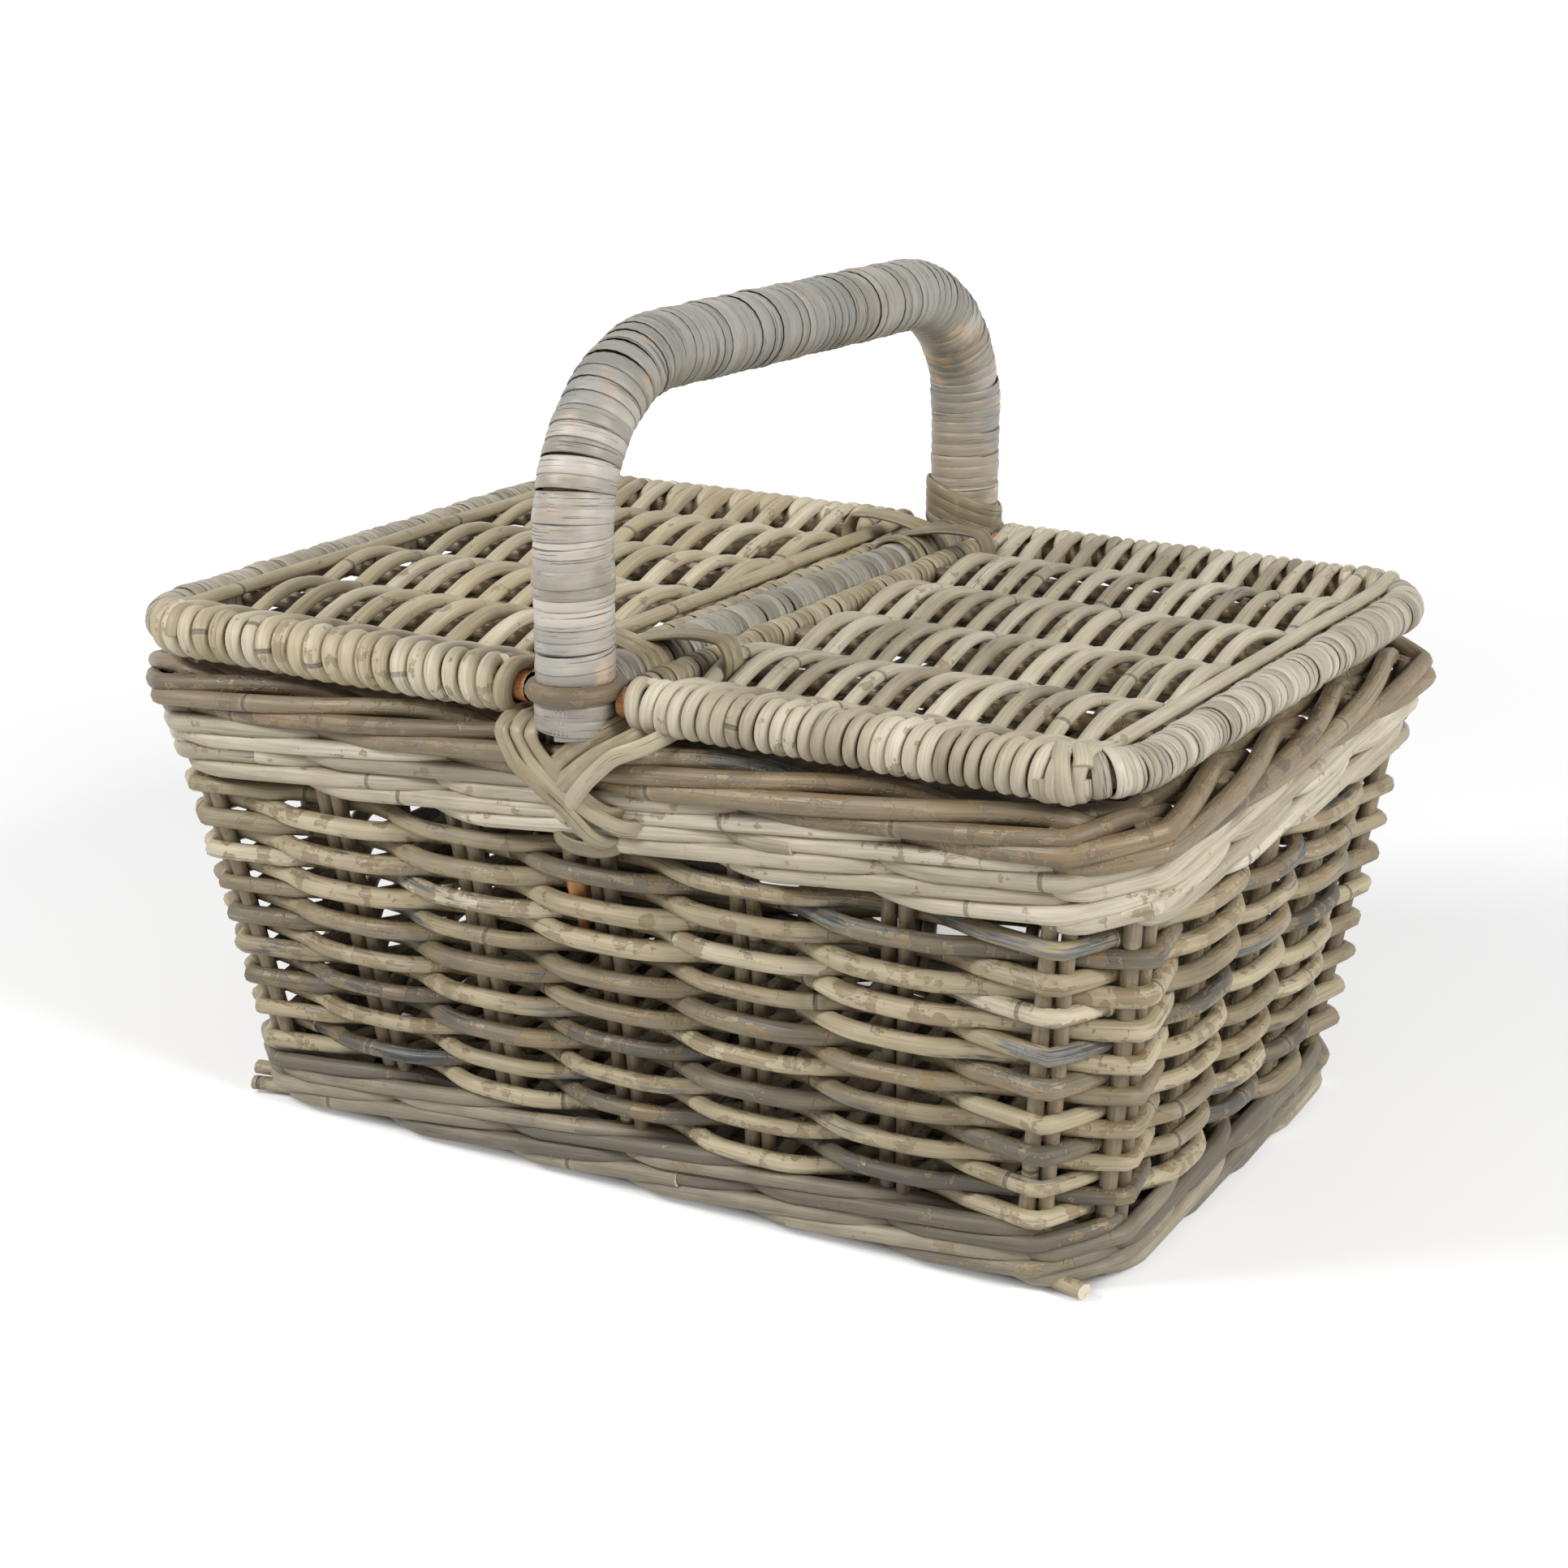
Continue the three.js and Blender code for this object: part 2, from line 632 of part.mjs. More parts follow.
// Lids
const panelEnd = rodEnd - END_WRAP / 2 - CLEARANCE;
const lidStart = hinge.x + CLEARANCE;
const lidPath = archPath(2 * rodEdge, rodEnd - lidStart, LID_BEND);
const endRun = {
  from: lidPath.leg + lidPath.arc / 2,
  to: lidPath.length - lidPath.leg - lidPath.arc / 2,
};

const ribAcross = (number) => (number + 1) * ribSpacing - rodEdge;
const lidStrandHalf = strandHalf(LID_THICKNESS / 2, RIB_DIAMETER, ribSpacing);
const lidStrandReach = LID_THICKNESS / 2 - lidStrandHalf;
const loopEnd = hinge.x + loopReach + 2 * CLEARANCE;
const loopRoom = LOOP_WIDTH / 2 + LOOP_SLACK;
const ribEdge = outerRibPlace + RIB_DIAMETER + CLEARANCE;
const rollDepth = rodEdge - (LID_ROD + LID_THICKNESS) / 4;

// How far from the lid's middle a strand can reach before it meets the edge roll
function lidStrandRoom(x) {
  const past = Math.max(0, x - (rodEnd - LID_BEND));
  const bendRoom = LID_BEND - LID_THICKNESS / 2 - CLEARANCE;
  return rodEdge - LID_BEND + Math.sqrt(Math.max(0, bendRoom * bendRoom - past * past));
}

// One unbroken strand goes to and fro in each lid, over and under the ribs by turns. Beside the hinge loops,
// which stay still while the lid swings, it turns back between them, and short ends fill the edge
function lidWeave(side, strands, loopPlace) {
  const pitch = (panelEnd - panelStart) / strands;
  const half = (pitch - STRAND_GAP) / 2;
  const beside = Math.ceil((loopEnd - panelStart - STRAND_GAP / 2) / pitch);
  const middle = (number) => panelStart + (number + 0.5) * pitch;
  const way = (number) => (number % 2 ? -1 : 1);
  const room = (number) => (number < beside ? loopPlace - loopRoom : lidStrandRoom(middle(number) + half));
  const ring = (number, y, lift, shear) => {
    const x = middle(number);
    const wide = way(number) * half;
    return [
      new THREE.Vector3(side * (x + wide), y - shear, lidMiddle + lift),
      new THREE.Vector3(side * x, y, lidMiddle + lift + lidStrandHalf),
      new THREE.Vector3(side * (x - wide), y + shear, lidMiddle + lift),
      new THREE.Vector3(side * x, y, lidMiddle + lift - lidStrandHalf),
    ];
  };
  const ribLift = (number, rib) => ((number + rib) % 2 ? lidStrandReach : -lidStrandReach);
  const endAt = (number, edge, other) => {
    const limit = Math.min(room(number), room(other));
    const shear = other === number ? 0 : Math.min(half, (limit - ribEdge) / 2);
    const y = limit - shear;
    const nearRib = y - outerRibPlace < ribSpacing / 4;
    return { y: edge * y, shear, lift: nearRib ? ribLift(number, edge > 0 ? RIB_COUNT - 1 : 0) : 0 };
  };
  const rings = [];
  const pieces = [];
  for (let number = 0; number < strands; number += 1) {
    const overRibs = Array.from({ length: RIB_COUNT }, (_, rib) => (
      ring(number, ribAcross(rib), ribLift(number, rib), 0)
    ));
    const edge = way(number);
    const start = endAt(number, -edge, Math.max(number - 1, 0));
    const end = endAt(number, edge, Math.min(number + 1, strands - 1));
    rings.push(ring(number, start.y, start.lift, start.shear));
    rings.push(...(edge > 0 ? overRibs : overRibs.reverse()));
    rings.push(ring(number, end.y, end.lift, end.shear));
    if (number <= beside) {
      for (const { y, lift } of [start, end]) {
        const fill = { y: Math.sign(y) * (loopPlace + loopRoom), lift: 0 };
        const inner = number < beside ? fill : { y, lift };
        const into = ring(number, Math.sign(y) * rollDepth, 0, 0);
        pieces.push(loft([ring(number, inner.y, inner.lift, 0), into]));
      }
    }
  }
  return [loft(rings), ...pieces].map(toSolid);
}

// Strands go round the long rods in a row of loops, a ridged roll with a ridge to every two strands
function edgeRoll(map, strands, far) {
  const from = panelStart - lidStart;
  const to = endRun.from - WRAP_GAP;
  const rings = [];
  for (let i = 0; i <= strands; i += 1) {
    const along = THREE.MathUtils.lerp(from, to, i / strands);
    const s = far ? lidPath.length - along : along;
    const radius = LID_THICKNESS / 2 - (i % 2 ? 0 : LOOP_DEPTH);
    rings.push(Array.from({ length: ROLL_SIDES }, (_, k) => (
      map(lidPath.point(s, (2 * Math.PI * k) / ROLL_SIDES, radius))
    )));
  }
  return loft(rings);
}

function lidRib(side, number) {
  return loft([panelStart, panelEnd].map((x) => pairOutline(RIB_DIAMETER).map(([a, b]) => (
    new THREE.Vector3(side * x, ribAcross(number) + a, lidMiddle + b)
  ))));
}

function addLid(name, side, strands, loopPlace) {
  const map = ({ u, v, w }) => new THREE.Vector3(side * (lidStart + v), u, lidMiddle + w);
  addPiece(`${name}_frame`, roundTube(lidPath, 0, lidPath.length, LID_ROD / 2, map), BROWN);
  const endWrap = winding(`${name}_end_wrap`, lidPath, map, endRun, END_LOOPS, LID_ROD, END_WRAP);
  addPiece(`${name}_end_wrap`, endWrap, STRAW);
  const betweenLegs = handleSpan - HANDLE_DIAMETER - 2 * HINGE_GAP;
  const betweenRods = 2 * rodEdge - LID_ROD - 2 * CLEARANCE;
  const innerLength = Math.min(betweenLegs, betweenRods);
  const innerRod = new THREE.CylinderGeometry(INNER_ROD / 2, INNER_ROD / 2, innerLength, ROUND_SIDES);
  addPiece(`${name}_inner_rod`, innerRod.translate(side * innerRodPlace, 0, lidMiddle), SILVER);
  for (let number = 0; number < RIB_COUNT; number += 1) {
    addPiece(`${name}_rib_${number + 1}`, lidRib(side, number), TAUPE);
  }
  for (const [end, place] of [['front', -loopPlace], ['back', loopPlace]]) {
    addPiece(`${name}_hinge_loop_${end}`, hingeLoop(side, place), STRAW);
  }
  const bore = roundTube(lidPath, -LID_ROD, lidPath.length + LID_ROD, LID_ROD / 2 + CLEARANCE, map);
  const rolls = [false, true].map((far) => cut(edgeRoll(map, strands, far), [bore]));
  addPiece(`${name}_weave`, together([...rolls, ...lidWeave(side, strands, loopPlace)]), STRAW);
}

addLid('left_lid', -1, LEFT_STRANDS, outerRibPlace + LEFT_LOOP_OFFSET);
addLid('right_lid', 1, RIGHT_STRANDS, outerRibPlace + RIGHT_LOOP_OFFSET);

export default basket;
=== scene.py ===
# %% [markdown]
# # A woven rattan picnic basket
# The basket is nothing but strands: round rods, thinner weavers and flat strips of peel. Each one follows a
# path, so the whole lesson is about making good paths and sweeping a strand along every one of them.
# The solids of the basket are loaded first, as a frame that gives every size and place.

# %% Load the frame and take the sizes from it
import math

import bpy
import numpy as np
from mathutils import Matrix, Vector


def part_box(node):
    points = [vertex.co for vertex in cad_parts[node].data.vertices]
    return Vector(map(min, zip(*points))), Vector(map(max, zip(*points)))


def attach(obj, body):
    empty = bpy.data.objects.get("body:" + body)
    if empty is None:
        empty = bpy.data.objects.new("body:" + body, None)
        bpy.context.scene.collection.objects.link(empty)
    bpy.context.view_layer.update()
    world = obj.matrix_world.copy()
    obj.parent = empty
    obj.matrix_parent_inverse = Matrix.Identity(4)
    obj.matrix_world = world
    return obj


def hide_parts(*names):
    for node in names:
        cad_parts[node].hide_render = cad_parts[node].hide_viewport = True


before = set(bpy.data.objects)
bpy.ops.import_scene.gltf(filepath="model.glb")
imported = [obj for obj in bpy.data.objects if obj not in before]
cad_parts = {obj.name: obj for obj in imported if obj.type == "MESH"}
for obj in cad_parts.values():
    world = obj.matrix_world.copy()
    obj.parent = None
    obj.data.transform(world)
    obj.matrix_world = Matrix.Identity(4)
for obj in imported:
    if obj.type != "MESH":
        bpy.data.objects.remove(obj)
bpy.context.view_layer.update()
MM = 0.001
dice = np.random.default_rng(7)


def low(node):
    return np.array(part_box(node)[0])


def high(node):
    return np.array(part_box(node)[1])


def middle(node):
    return (low(node) + high(node)) / 2


STAKE_R = (high("stake_pair_front_4") - low("stake_pair_front_4"))[0] / 4
WALL_LOW = low("wall_weave_front")[2]
RIM_LOW = low("rim_border")[2]
RIM_HIGH = high("rim_border")[2]
LID_MID = middle("left_lid_frame")[2]
LEG_Y = middle("collar_back")[1]
CROSSBAR_R = (high("crossbar_wrap") - low("crossbar_wrap"))[2] / 2
INNER_ROD_X = middle("right_lid_inner_rod")[0]
INNER_ROD_R = (high("right_lid_inner_rod") - low("right_lid_inner_rod"))[2] / 2

# %% [markdown]
# ## Sweeping a strand
# A strand could be a Bezier curve with a bevel, but then every strand would share one thickness and carry no
# data for its finish. Here a path is a chain of mesh edges whose points carry a thickness, a facing
# direction, a tint and a seed. One Geometry Nodes tree turns any number of such chains into strands, and
# stores on every point how far along the strand it lies and where round it, so that grain can follow it.

# %% The tree that sweeps strands
def add_node(tree, kind, settings=None, links=None):
    node = tree.nodes.new(kind)
    for name, value in (settings or {}).items():
        setattr(node, name, value)
    for name, value in (links or {}).items():
        if isinstance(value, bpy.types.NodeSocket):
            tree.links.new(value, node.inputs[name])
        else:
            node.inputs[name].default_value = value
    return node


def named(tree, name, data_type):
    node = add_node(tree, "GeometryNodeInputNamedAttribute", {"data_type": data_type}, {"Name": name})
    return node.outputs["Attribute"]


def strand_tree():
    tree = bpy.data.node_groups.new("strand sweep", "GeometryNodeTree")
    face = tree.interface
    face.new_socket("Paths", in_out="INPUT", socket_type="NodeSocketGeometry")
    face.new_socket("Sides", in_out="INPUT", socket_type="NodeSocketInt")
    face.new_socket("Flatness", in_out="INPUT", socket_type="NodeSocketFloat")
    face.new_socket("Finish", in_out="INPUT", socket_type="NodeSocketMaterial")
    face.new_socket("Strands", in_out="OUTPUT", socket_type="NodeSocketGeometry")
    given = tree.nodes.new("NodeGroupInput").outputs
    chain = add_node(tree, "GeometryNodeMeshToCurve", links={"Mesh": given["Paths"]})
    facing = add_node(tree, "GeometryNodeSetCurveNormal", {"mode": "FREE"}, {
        "Curve": chain.outputs["Curve"], "Normal": named(tree, "facing", "FLOAT_VECTOR")})
    along = add_node(tree, "GeometryNodeSplineParameter").outputs["Length"]
    kept = add_node(tree, "GeometryNodeCaptureAttribute")
    kept.capture_items.new("FLOAT", "length")
    tree.links.new(facing.outputs["Curve"], kept.inputs["Geometry"])
    tree.links.new(along, kept.inputs["length"])
    ring = add_node(tree, "GeometryNodeCurvePrimitiveCircle", links={
        "Resolution": given["Sides"], "Radius": 1.0})
    oval = add_node(tree, "ShaderNodeCombineXYZ", links={"X": given["Flatness"], "Y": 1.0, "Z": 1.0})
    profile = add_node(tree, "GeometryNodeTransform", links={
        "Geometry": ring.outputs["Curve"], "Scale": oval.outputs["Vector"]})
    round_it = add_node(tree, "GeometryNodeCaptureAttribute")
    round_it.capture_items.new("VECTOR", "round")
    tree.links.new(profile.outputs["Geometry"], round_it.inputs["Geometry"])
    tree.links.new(add_node(tree, "GeometryNodeInputPosition").outputs["Position"], round_it.inputs["round"])
    thickness = named(tree, "thickness", "FLOAT")
    swept = add_node(tree, "GeometryNodeCurveToMesh", links={
        "Curve": kept.outputs["Geometry"], "Profile Curve": round_it.outputs["Geometry"],
        "Scale": thickness, "Fill Caps": True})
    across = add_node(tree, "ShaderNodeVectorMath", {"operation": "SCALE"}, {
        0: round_it.outputs["round"], "Scale": thickness})
    parts = add_node(tree, "ShaderNodeSeparateXYZ", links={"Vector": across.outputs["Vector"]})
    place = add_node(tree, "ShaderNodeCombineXYZ", links={
        "X": kept.outputs["length"], "Y": parts.outputs["X"], "Z": parts.outputs["Y"]})
    marked = add_node(tree, "GeometryNodeStoreNamedAttribute", {"data_type": "FLOAT_VECTOR"}, {
        "Geometry": swept.outputs["Mesh"], "Name": "strand", "Value": place.outputs["Vector"]})
    smooth = add_node(tree, "GeometryNodeSetShadeSmooth", links={"Geometry": marked.outputs["Geometry"]})
    real = add_node(tree, "GeometryNodeRealizeInstances", links={"Geometry": smooth.outputs["Geometry"]})
    done = add_node(tree, "GeometryNodeSetMaterial", links={
        "Geometry": real.outputs["Geometry"], "Material": given["Finish"]})
    tree.links.new(done.outputs["Geometry"], tree.nodes.new("NodeGroupOutput").inputs["Strands"])
    return tree


STRAND_TREE = strand_tree()
SOCKET = {item.name: item.identifier for item in STRAND_TREE.interface.items_tree if item.in_out == "INPUT"}
print("sweep tree", len(STRAND_TREE.nodes), "nodes")

# %% [markdown]
# ## A piece made of strands
# A piece collects its paths first. Every path gets one more point at either end, a hair's breadth further
# on, so that the cut face of a strand can have a colour of its own. Then all the paths of the piece become
# one mesh of edges, the tree sweeps it, and the result is kept as the mesh of the piece.

# %% Collecting paths and making a piece
CUT_STEP = 0.2 * MM
TINY = 1e-12


def unit(vectors):
    return vectors / np.maximum(np.linalg.norm(vectors, axis=-1, keepdims=True), TINY)


def with_ends(values):
    """The values along a path, with the first and the last one doubled."""
    return np.concatenate([values[:1], values, values[-1:]])


class Strands:
    """Paths for one piece. Each path has a radius, a facing direction, a tint from 0 to 1 and a seed."""

    def __init__(self):
        self.paths = []

    def add(self, points, radius, facing, tint, cut=True):
        points = np.asarray(points, float)
        radius = np.broadcast_to(np.asarray(radius, float), len(points))
        tint = np.broadcast_to(np.asarray(tint, float), len(points))
        tangent = unit(np.gradient(points, axis=0))
        facing = np.broadcast_to(np.asarray(facing, float), points.shape)
        facing = unit(facing - tangent * (facing * tangent).sum(-1, keepdims=True))
        points = with_ends(points)
        points[0] -= tangent[0] * CUT_STEP
        points[-1] += tangent[-1] * CUT_STEP
        shown = np.zeros(len(points))
        shown[[0, -1]] = 1.0 if cut else 0.0
        self.paths.append({
            "points": points, "thickness": with_ends(radius), "facing": with_ends(facing),
            "tint": with_ends(tint), "cut": shown, "seed": np.full(len(points), dice.random())})

    def joined(self, label):
        return np.concatenate([path[label] for path in self.paths])

    def path_mesh(self, name):
        """A mesh of edges along every path, whose points carry what was said of the path."""
        points = self.joined("points")
        last = np.cumsum([len(path["points"]) for path in self.paths]) - 1
        first = np.setdiff1d(np.arange(len(points)), last)
        mesh = bpy.data.meshes.new(name)
        mesh.from_pydata(points.tolist(), np.stack([first, first + 1], -1).tolist(), [])
        for label in ("thickness", "tint", "cut", "seed"):
            values = self.joined(label).astype(np.float32)
            mesh.attributes.new(label, "FLOAT", "POINT").data.foreach_set("value", values)
        facing = self.joined("facing").astype(np.float32)
        mesh.attributes.new("facing", "FLOAT_VECTOR", "POINT").data.foreach_set("vector", facing.ravel())
        return mesh

    def make(self, name, body, finish, sides=10, flatness=1.0, nodes=()):
        rough = bpy.data.objects.new(name + "_paths", self.path_mesh(name))
        bpy.context.scene.collection.objects.link(rough)
        sweep = rough.modifiers.new("sweep", "NODES")
        sweep.node_group = STRAND_TREE
        sweep[SOCKET["Sides"]] = sides
        sweep[SOCKET["Flatness"]] = flatness
        sweep[SOCKET["Finish"]] = finish
        depsgraph = bpy.context.evaluated_depsgraph_get()
        swept = bpy.data.meshes.new_from_object(
            rough.evaluated_get(depsgraph), preserve_all_data_layers=True, depsgraph=depsgraph)
        bpy.data.objects.remove(rough)
        swept.name = name
        piece = bpy.data.objects.new(name, swept)
        bpy.context.scene.collection.objects.link(piece)
        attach(piece, body)
        if nodes:
            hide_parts(*nodes)
        print(name, len(self.paths), "strands", len(swept.polygons), "faces")


print("a cut face begins", CUT_STEP / MM, "mm from the end of its strand")

# %% [markdown]
# ## Rattan finishes
# Weathered rattan is grey-brown with long streaks, rubbed stretches, flaking skin and a dark ring at each
# joint of the cane. All of it is painted along the strand from the stored coordinates: noise that is
# stretched along the length gives streaks, slow noise gives stains, and a threshold gives flakes.

# %% Shader maths as expressions
class Value:
    """A socket of a node that takes part in sums."""

    def __init__(self, paint, socket):
        self.paint = paint
        self.socket = socket

    def math(self, operation, first, second=0.0):
        return self.paint.node("ShaderNodeMath", {"operation": operation}, {0: first, 1: second})

    def __add__(self, other):
        return self.math("ADD", self, other)

    __radd__ = __add__

    def __sub__(self, other):
        return self.math("SUBTRACT", self, other)

    def __rsub__(self, other):
        return self.math("SUBTRACT", other, self)

    def __mul__(self, other):
        return self.math("MULTIPLY", self, other)

    __rmul__ = __mul__

    def __truediv__(self, other):
        return self.math("DIVIDE", self, other)

    def abs(self):
        return self.math("ABSOLUTE", self)

    def floor(self):
        return self.math("FLOOR", self)

    def fraction(self):
        return self.math("FRACT", self)

    def between(self, start, end):
        """0 below start, 1 above end and a smooth step between them."""
        return self.paint.node("ShaderNodeMapRange", {"interpolation_type": "SMOOTHSTEP"}, {
            "Value": self, "From Min": start, "From Max": end, "To Min": 0.0, "To Max": 1.0})


print("sockets can be added, subtracted, multiplied and divided")

# %% [markdown]
# ## Nodes of a finish
# One method makes any node. What is given as a setting is set on the node, and what is given as a link is
# either a socket of another node or a plain value. The other methods only name what they ask it for.

# %% Nodes made by one method
NOISE_SHIFT = {"X": 91.0, "Y": 37.0, "Z": 53.0}
MIX_SHARE, MIX_FIRST, MIX_SECOND = 0, 6, 7
MIX_COLOUR = 2


class Paint:
    """The nodes of one material, or of the world."""

    def __init__(self, owner, output="ShaderNodeOutputMaterial"):
        owner.use_nodes = True
        self.owner = owner
        self.output = output
        self.tree = owner.node_tree
        self.tree.nodes.clear()

    def node(self, kind, settings=None, links=None, output=0):
        node = self.tree.nodes.new(kind)
        for name, value in (settings or {}).items():
            if name == "stops":
                self.set_stops(node.color_ramp, value)
            else:
                setattr(node, name, value)
        for name, value in (links or {}).items():
            if isinstance(value, Value):
                self.tree.links.new(value.socket, node.inputs[name])
            else:
                node.inputs[name].default_value = value
        return Value(self, node.outputs[output]) if node.outputs else None

    def set_stops(self, ramp, stops):
        while len(ramp.elements) < len(stops):
            ramp.elements.new(1.0)
        for element, (place, colour) in zip(ramp.elements, stops):
            element.position = place
            element.color = colour

    def attribute(self, name, output="Fac"):
        return self.node("ShaderNodeAttribute", {"attribute_name": name}, output=output)

    def noise(self, place, stretch, seed, detail=2.0, roughness=0.5):
        """Noise whose grain has the given number of features per metre along and across the strand."""
        shift = self.node("ShaderNodeCombineXYZ", links={
            axis: seed * step for axis, step in NOISE_SHIFT.items()})
        scaled = self.node("ShaderNodeVectorMath", {"operation": "MULTIPLY_ADD"}, {
            0: place, 1: stretch, 2: shift})
        return self.node("ShaderNodeTexNoise", {"noise_dimensions": "3D"}, {
            "Vector": scaled, "Scale": 1.0, "Detail": detail, "Roughness": roughness})

    def mix(self, share, first, second, blend="MIX"):
        return self.node("ShaderNodeMix", {"data_type": "RGBA", "blend_type": blend}, {
            MIX_SHARE: share, MIX_FIRST: first, MIX_SECOND: second}, MIX_COLOUR)

    def grey(self, value):
        """A colour of equal parts, to multiply a colour by a number."""
        return self.node("ShaderNodeCombineColor", links={"Red": value, "Green": value, "Blue": value})

    def finish(self, colour, roughness, height, depth, strength=1.0):
        bump = self.node("ShaderNodeBump", links={"Height": height, "Distance": depth, "Strength": strength})
        self.show(self.node("ShaderNodeBsdfPrincipled", links={
            "Base Color": colour, "Roughness": roughness, "Normal": bump, "Specular IOR Level": 0.5}))
        return self.owner

    def show(self, shader):
        self.node(self.output, links={"Surface": shader})


def srgb(red, green, blue):
    """A colour as it is read on a screen, from 0 to 255, as the linear light that a shader takes."""
    def linear(part):
        part = part / 255
        return part / 12.92 if part <= 0.04045 else ((part + 0.055) / 1.055) ** 2.4
    return (*(linear(part) for part in (red, green, blue)), 1.0)


print("middle grey as linear light", round(srgb(128, 128, 128)[0], 3))

# %% [markdown]
# ## One recipe for cane
# Every kind of cane is painted by one recipe in layers: the dusty coat, the skin where the coat has flaked
# off, slate-coloured stains, the joints of the cane and fine cracks. Each noise has its own grain, given as
# features per metre along the strand and across it.

# %% The recipe
SLATE_DARK = srgb(46, 50, 54)
SLATE_LIGHT = srgb(124, 125, 121)
PITH = srgb(226, 214, 190)
FLAKE_EDGE = srgb(196, 184, 158)
JOINT_PALE = srgb(186, 174, 148)
JOINT_DARK = srgb(62, 55, 47)
CRACK_DARK = srgb(66, 58, 48)
SKIN_STOPS = [(0.25, srgb(104, 86, 60)), (0.5, srgb(134, 114, 82)), (0.75, srgb(156, 132, 96))]
STREAK_GRAIN = (20, 560, 560)
FIBRE_GRAIN = (45, 1300, 1300)
MOTTLE_GRAIN = (50, 150, 150)
SLOW_GRAIN = (8, 26, 26)
FLAKE_GRAIN = (70, 120, 120)
BAR_GRAIN = (190, 60, 60)
CLOUD_GRAIN = (9, 45, 45)
CRACK_GRAIN = (13, 900, 900)
FLAKE_STEP = 0.02
STAIN_STEP = 0.05
SKIN_SHARE = 0.68
STAIN_SHARE = 0.92
JOINT_GAP = 160 * MM
COAT_DEPTH = 0.55 * MM


def rattan(name, stops, worn=0.53, stain=0.62, gloss=0.27, cut=PITH):
    """Cane whose dusty coat has flaked off the glossy skin. stops run from the dark coat to the pale one."""
    paint = Paint(bpy.data.materials.new(name))
    place = paint.attribute("strand", "Vector")
    tint = paint.attribute("tint")
    seed = paint.attribute("seed")
    ends = paint.attribute("cut")
    length = paint.node("ShaderNodeSeparateXYZ", links={"Vector": place})
    streaks = paint.noise(place, STREAK_GRAIN, seed, 4.0, 0.65)
    fibres = paint.noise(place, FIBRE_GRAIN, seed + 3.1, 2.0)
    mottle = paint.noise(place, MOTTLE_GRAIN, seed + 1.7, 3.0)
    slow = paint.noise(place, SLOW_GRAIN, seed + 5.3, 2.0)
    shade = tint + (mottle - 0.5) * 0.5 + (slow - 0.5) * 0.5
    colour = paint.node("ShaderNodeValToRGB", {"stops": stops}, {"Fac": shade})
    flakes = paint.noise(place, FLAKE_GRAIN, seed + 7.4, 4.0, 0.6)
    bars = paint.noise(place, BAR_GRAIN, seed + 2.6, 3.0)
    coat = flakes * 0.65 + bars * 0.35 + (slow - 0.5) * 0.3
    bare = coat.between(worn, worn + FLAKE_STEP)
    under = paint.node("ShaderNodeValToRGB", {"stops": SKIN_STOPS}, {"Fac": slow * 0.6 + mottle * 0.4})
    colour = paint.mix(bare * SKIN_SHARE, colour, under)
    lifted = bare * (1 - coat.between(worn + 0.7 * FLAKE_STEP, worn + 1.3 * FLAKE_STEP))
    colour = paint.mix(lifted * 0.25, colour, FLAKE_EDGE)
    cloud = paint.noise(place, CLOUD_GRAIN, seed + 9.2, 4.0, 0.65)
    stained = (cloud + (streaks - 0.5) * 0.4).between(stain, stain + STAIN_STEP)
    slate = paint.mix((streaks * 0.6 + fibres * 0.4).between(0.42, 0.62), SLATE_DARK, SLATE_LIGHT)
    colour = paint.mix(stained * STAIN_SHARE, colour, slate)
    joints = length / JOINT_GAP + seed * 9.7
    drawn = paint.node("ShaderNodeTexWhiteNoise", {"noise_dimensions": "1D"}, {
        "W": joints.floor() + seed * 31.0})
    here = drawn.between(0.5, 0.52)
    from_joint = (joints.fraction() - 0.5).abs() * JOINT_GAP
    ring = (1 - from_joint.between(0.4 * MM, 1.2 * MM)) * here
    swelling = (1 - from_joint.between(1 * MM, 5 * MM)) * here
    colour = paint.mix(swelling * 0.25, colour, JOINT_PALE)
    colour = paint.mix(ring * 0.65, colour, JOINT_DARK)
    cracks = paint.noise(place, CRACK_GRAIN, seed + 11.9, 3.0, 0.6).between(0.62, 0.7)
    colour = paint.mix(cracks * 0.5, colour, CRACK_DARK)
    grain = 0.3 + streaks * 0.78 + fibres * 0.62
    colour = paint.mix(1.0, colour, paint.grey(grain), "MULTIPLY")
    colour = paint.mix(ends, colour, cut)
    roughness = 0.4 + streaks * 0.2 - bare * (0.4 - gloss)
    height = streaks * 0.6 + fibres * 0.3 + mottle * 0.6 - bare * 0.5 + swelling * 1.2 - ring * 1.2
    return paint.finish(colour, roughness, height, COAT_DEPTH)


print("joints of the cane lie", round(JOINT_GAP / MM), "mm apart")

# %% Kinds of cane
WEAVER_STOPS = [
    (0.0, srgb(86, 80, 70)),
    (0.25, srgb(132, 119, 94)),
    (0.5, srgb(165, 151, 121)),
    (0.75, srgb(186, 172, 142)),
    (1.0, srgb(206, 195, 170)),
]
PALE_STOPS = [
    (0.0, srgb(104, 96, 82)),
    (0.4, srgb(158, 148, 126)),
    (0.7, srgb(188, 178, 155)),
    (1.0, srgb(211, 202, 182)),
]
LID_STOPS = [
    (0.0, srgb(96, 89, 75)),
    (0.3, srgb(152, 141, 118)),
    (0.6, srgb(182, 172, 148)),
    (1.0, srgb(211, 202, 181)),
]
BROWN_STOPS = [
    (0.0, srgb(80, 67, 52)),
    (0.4, srgb(116, 101, 79)),
    (0.7, srgb(140, 125, 100)),
    (1.0, srgb(166, 152, 127)),
]
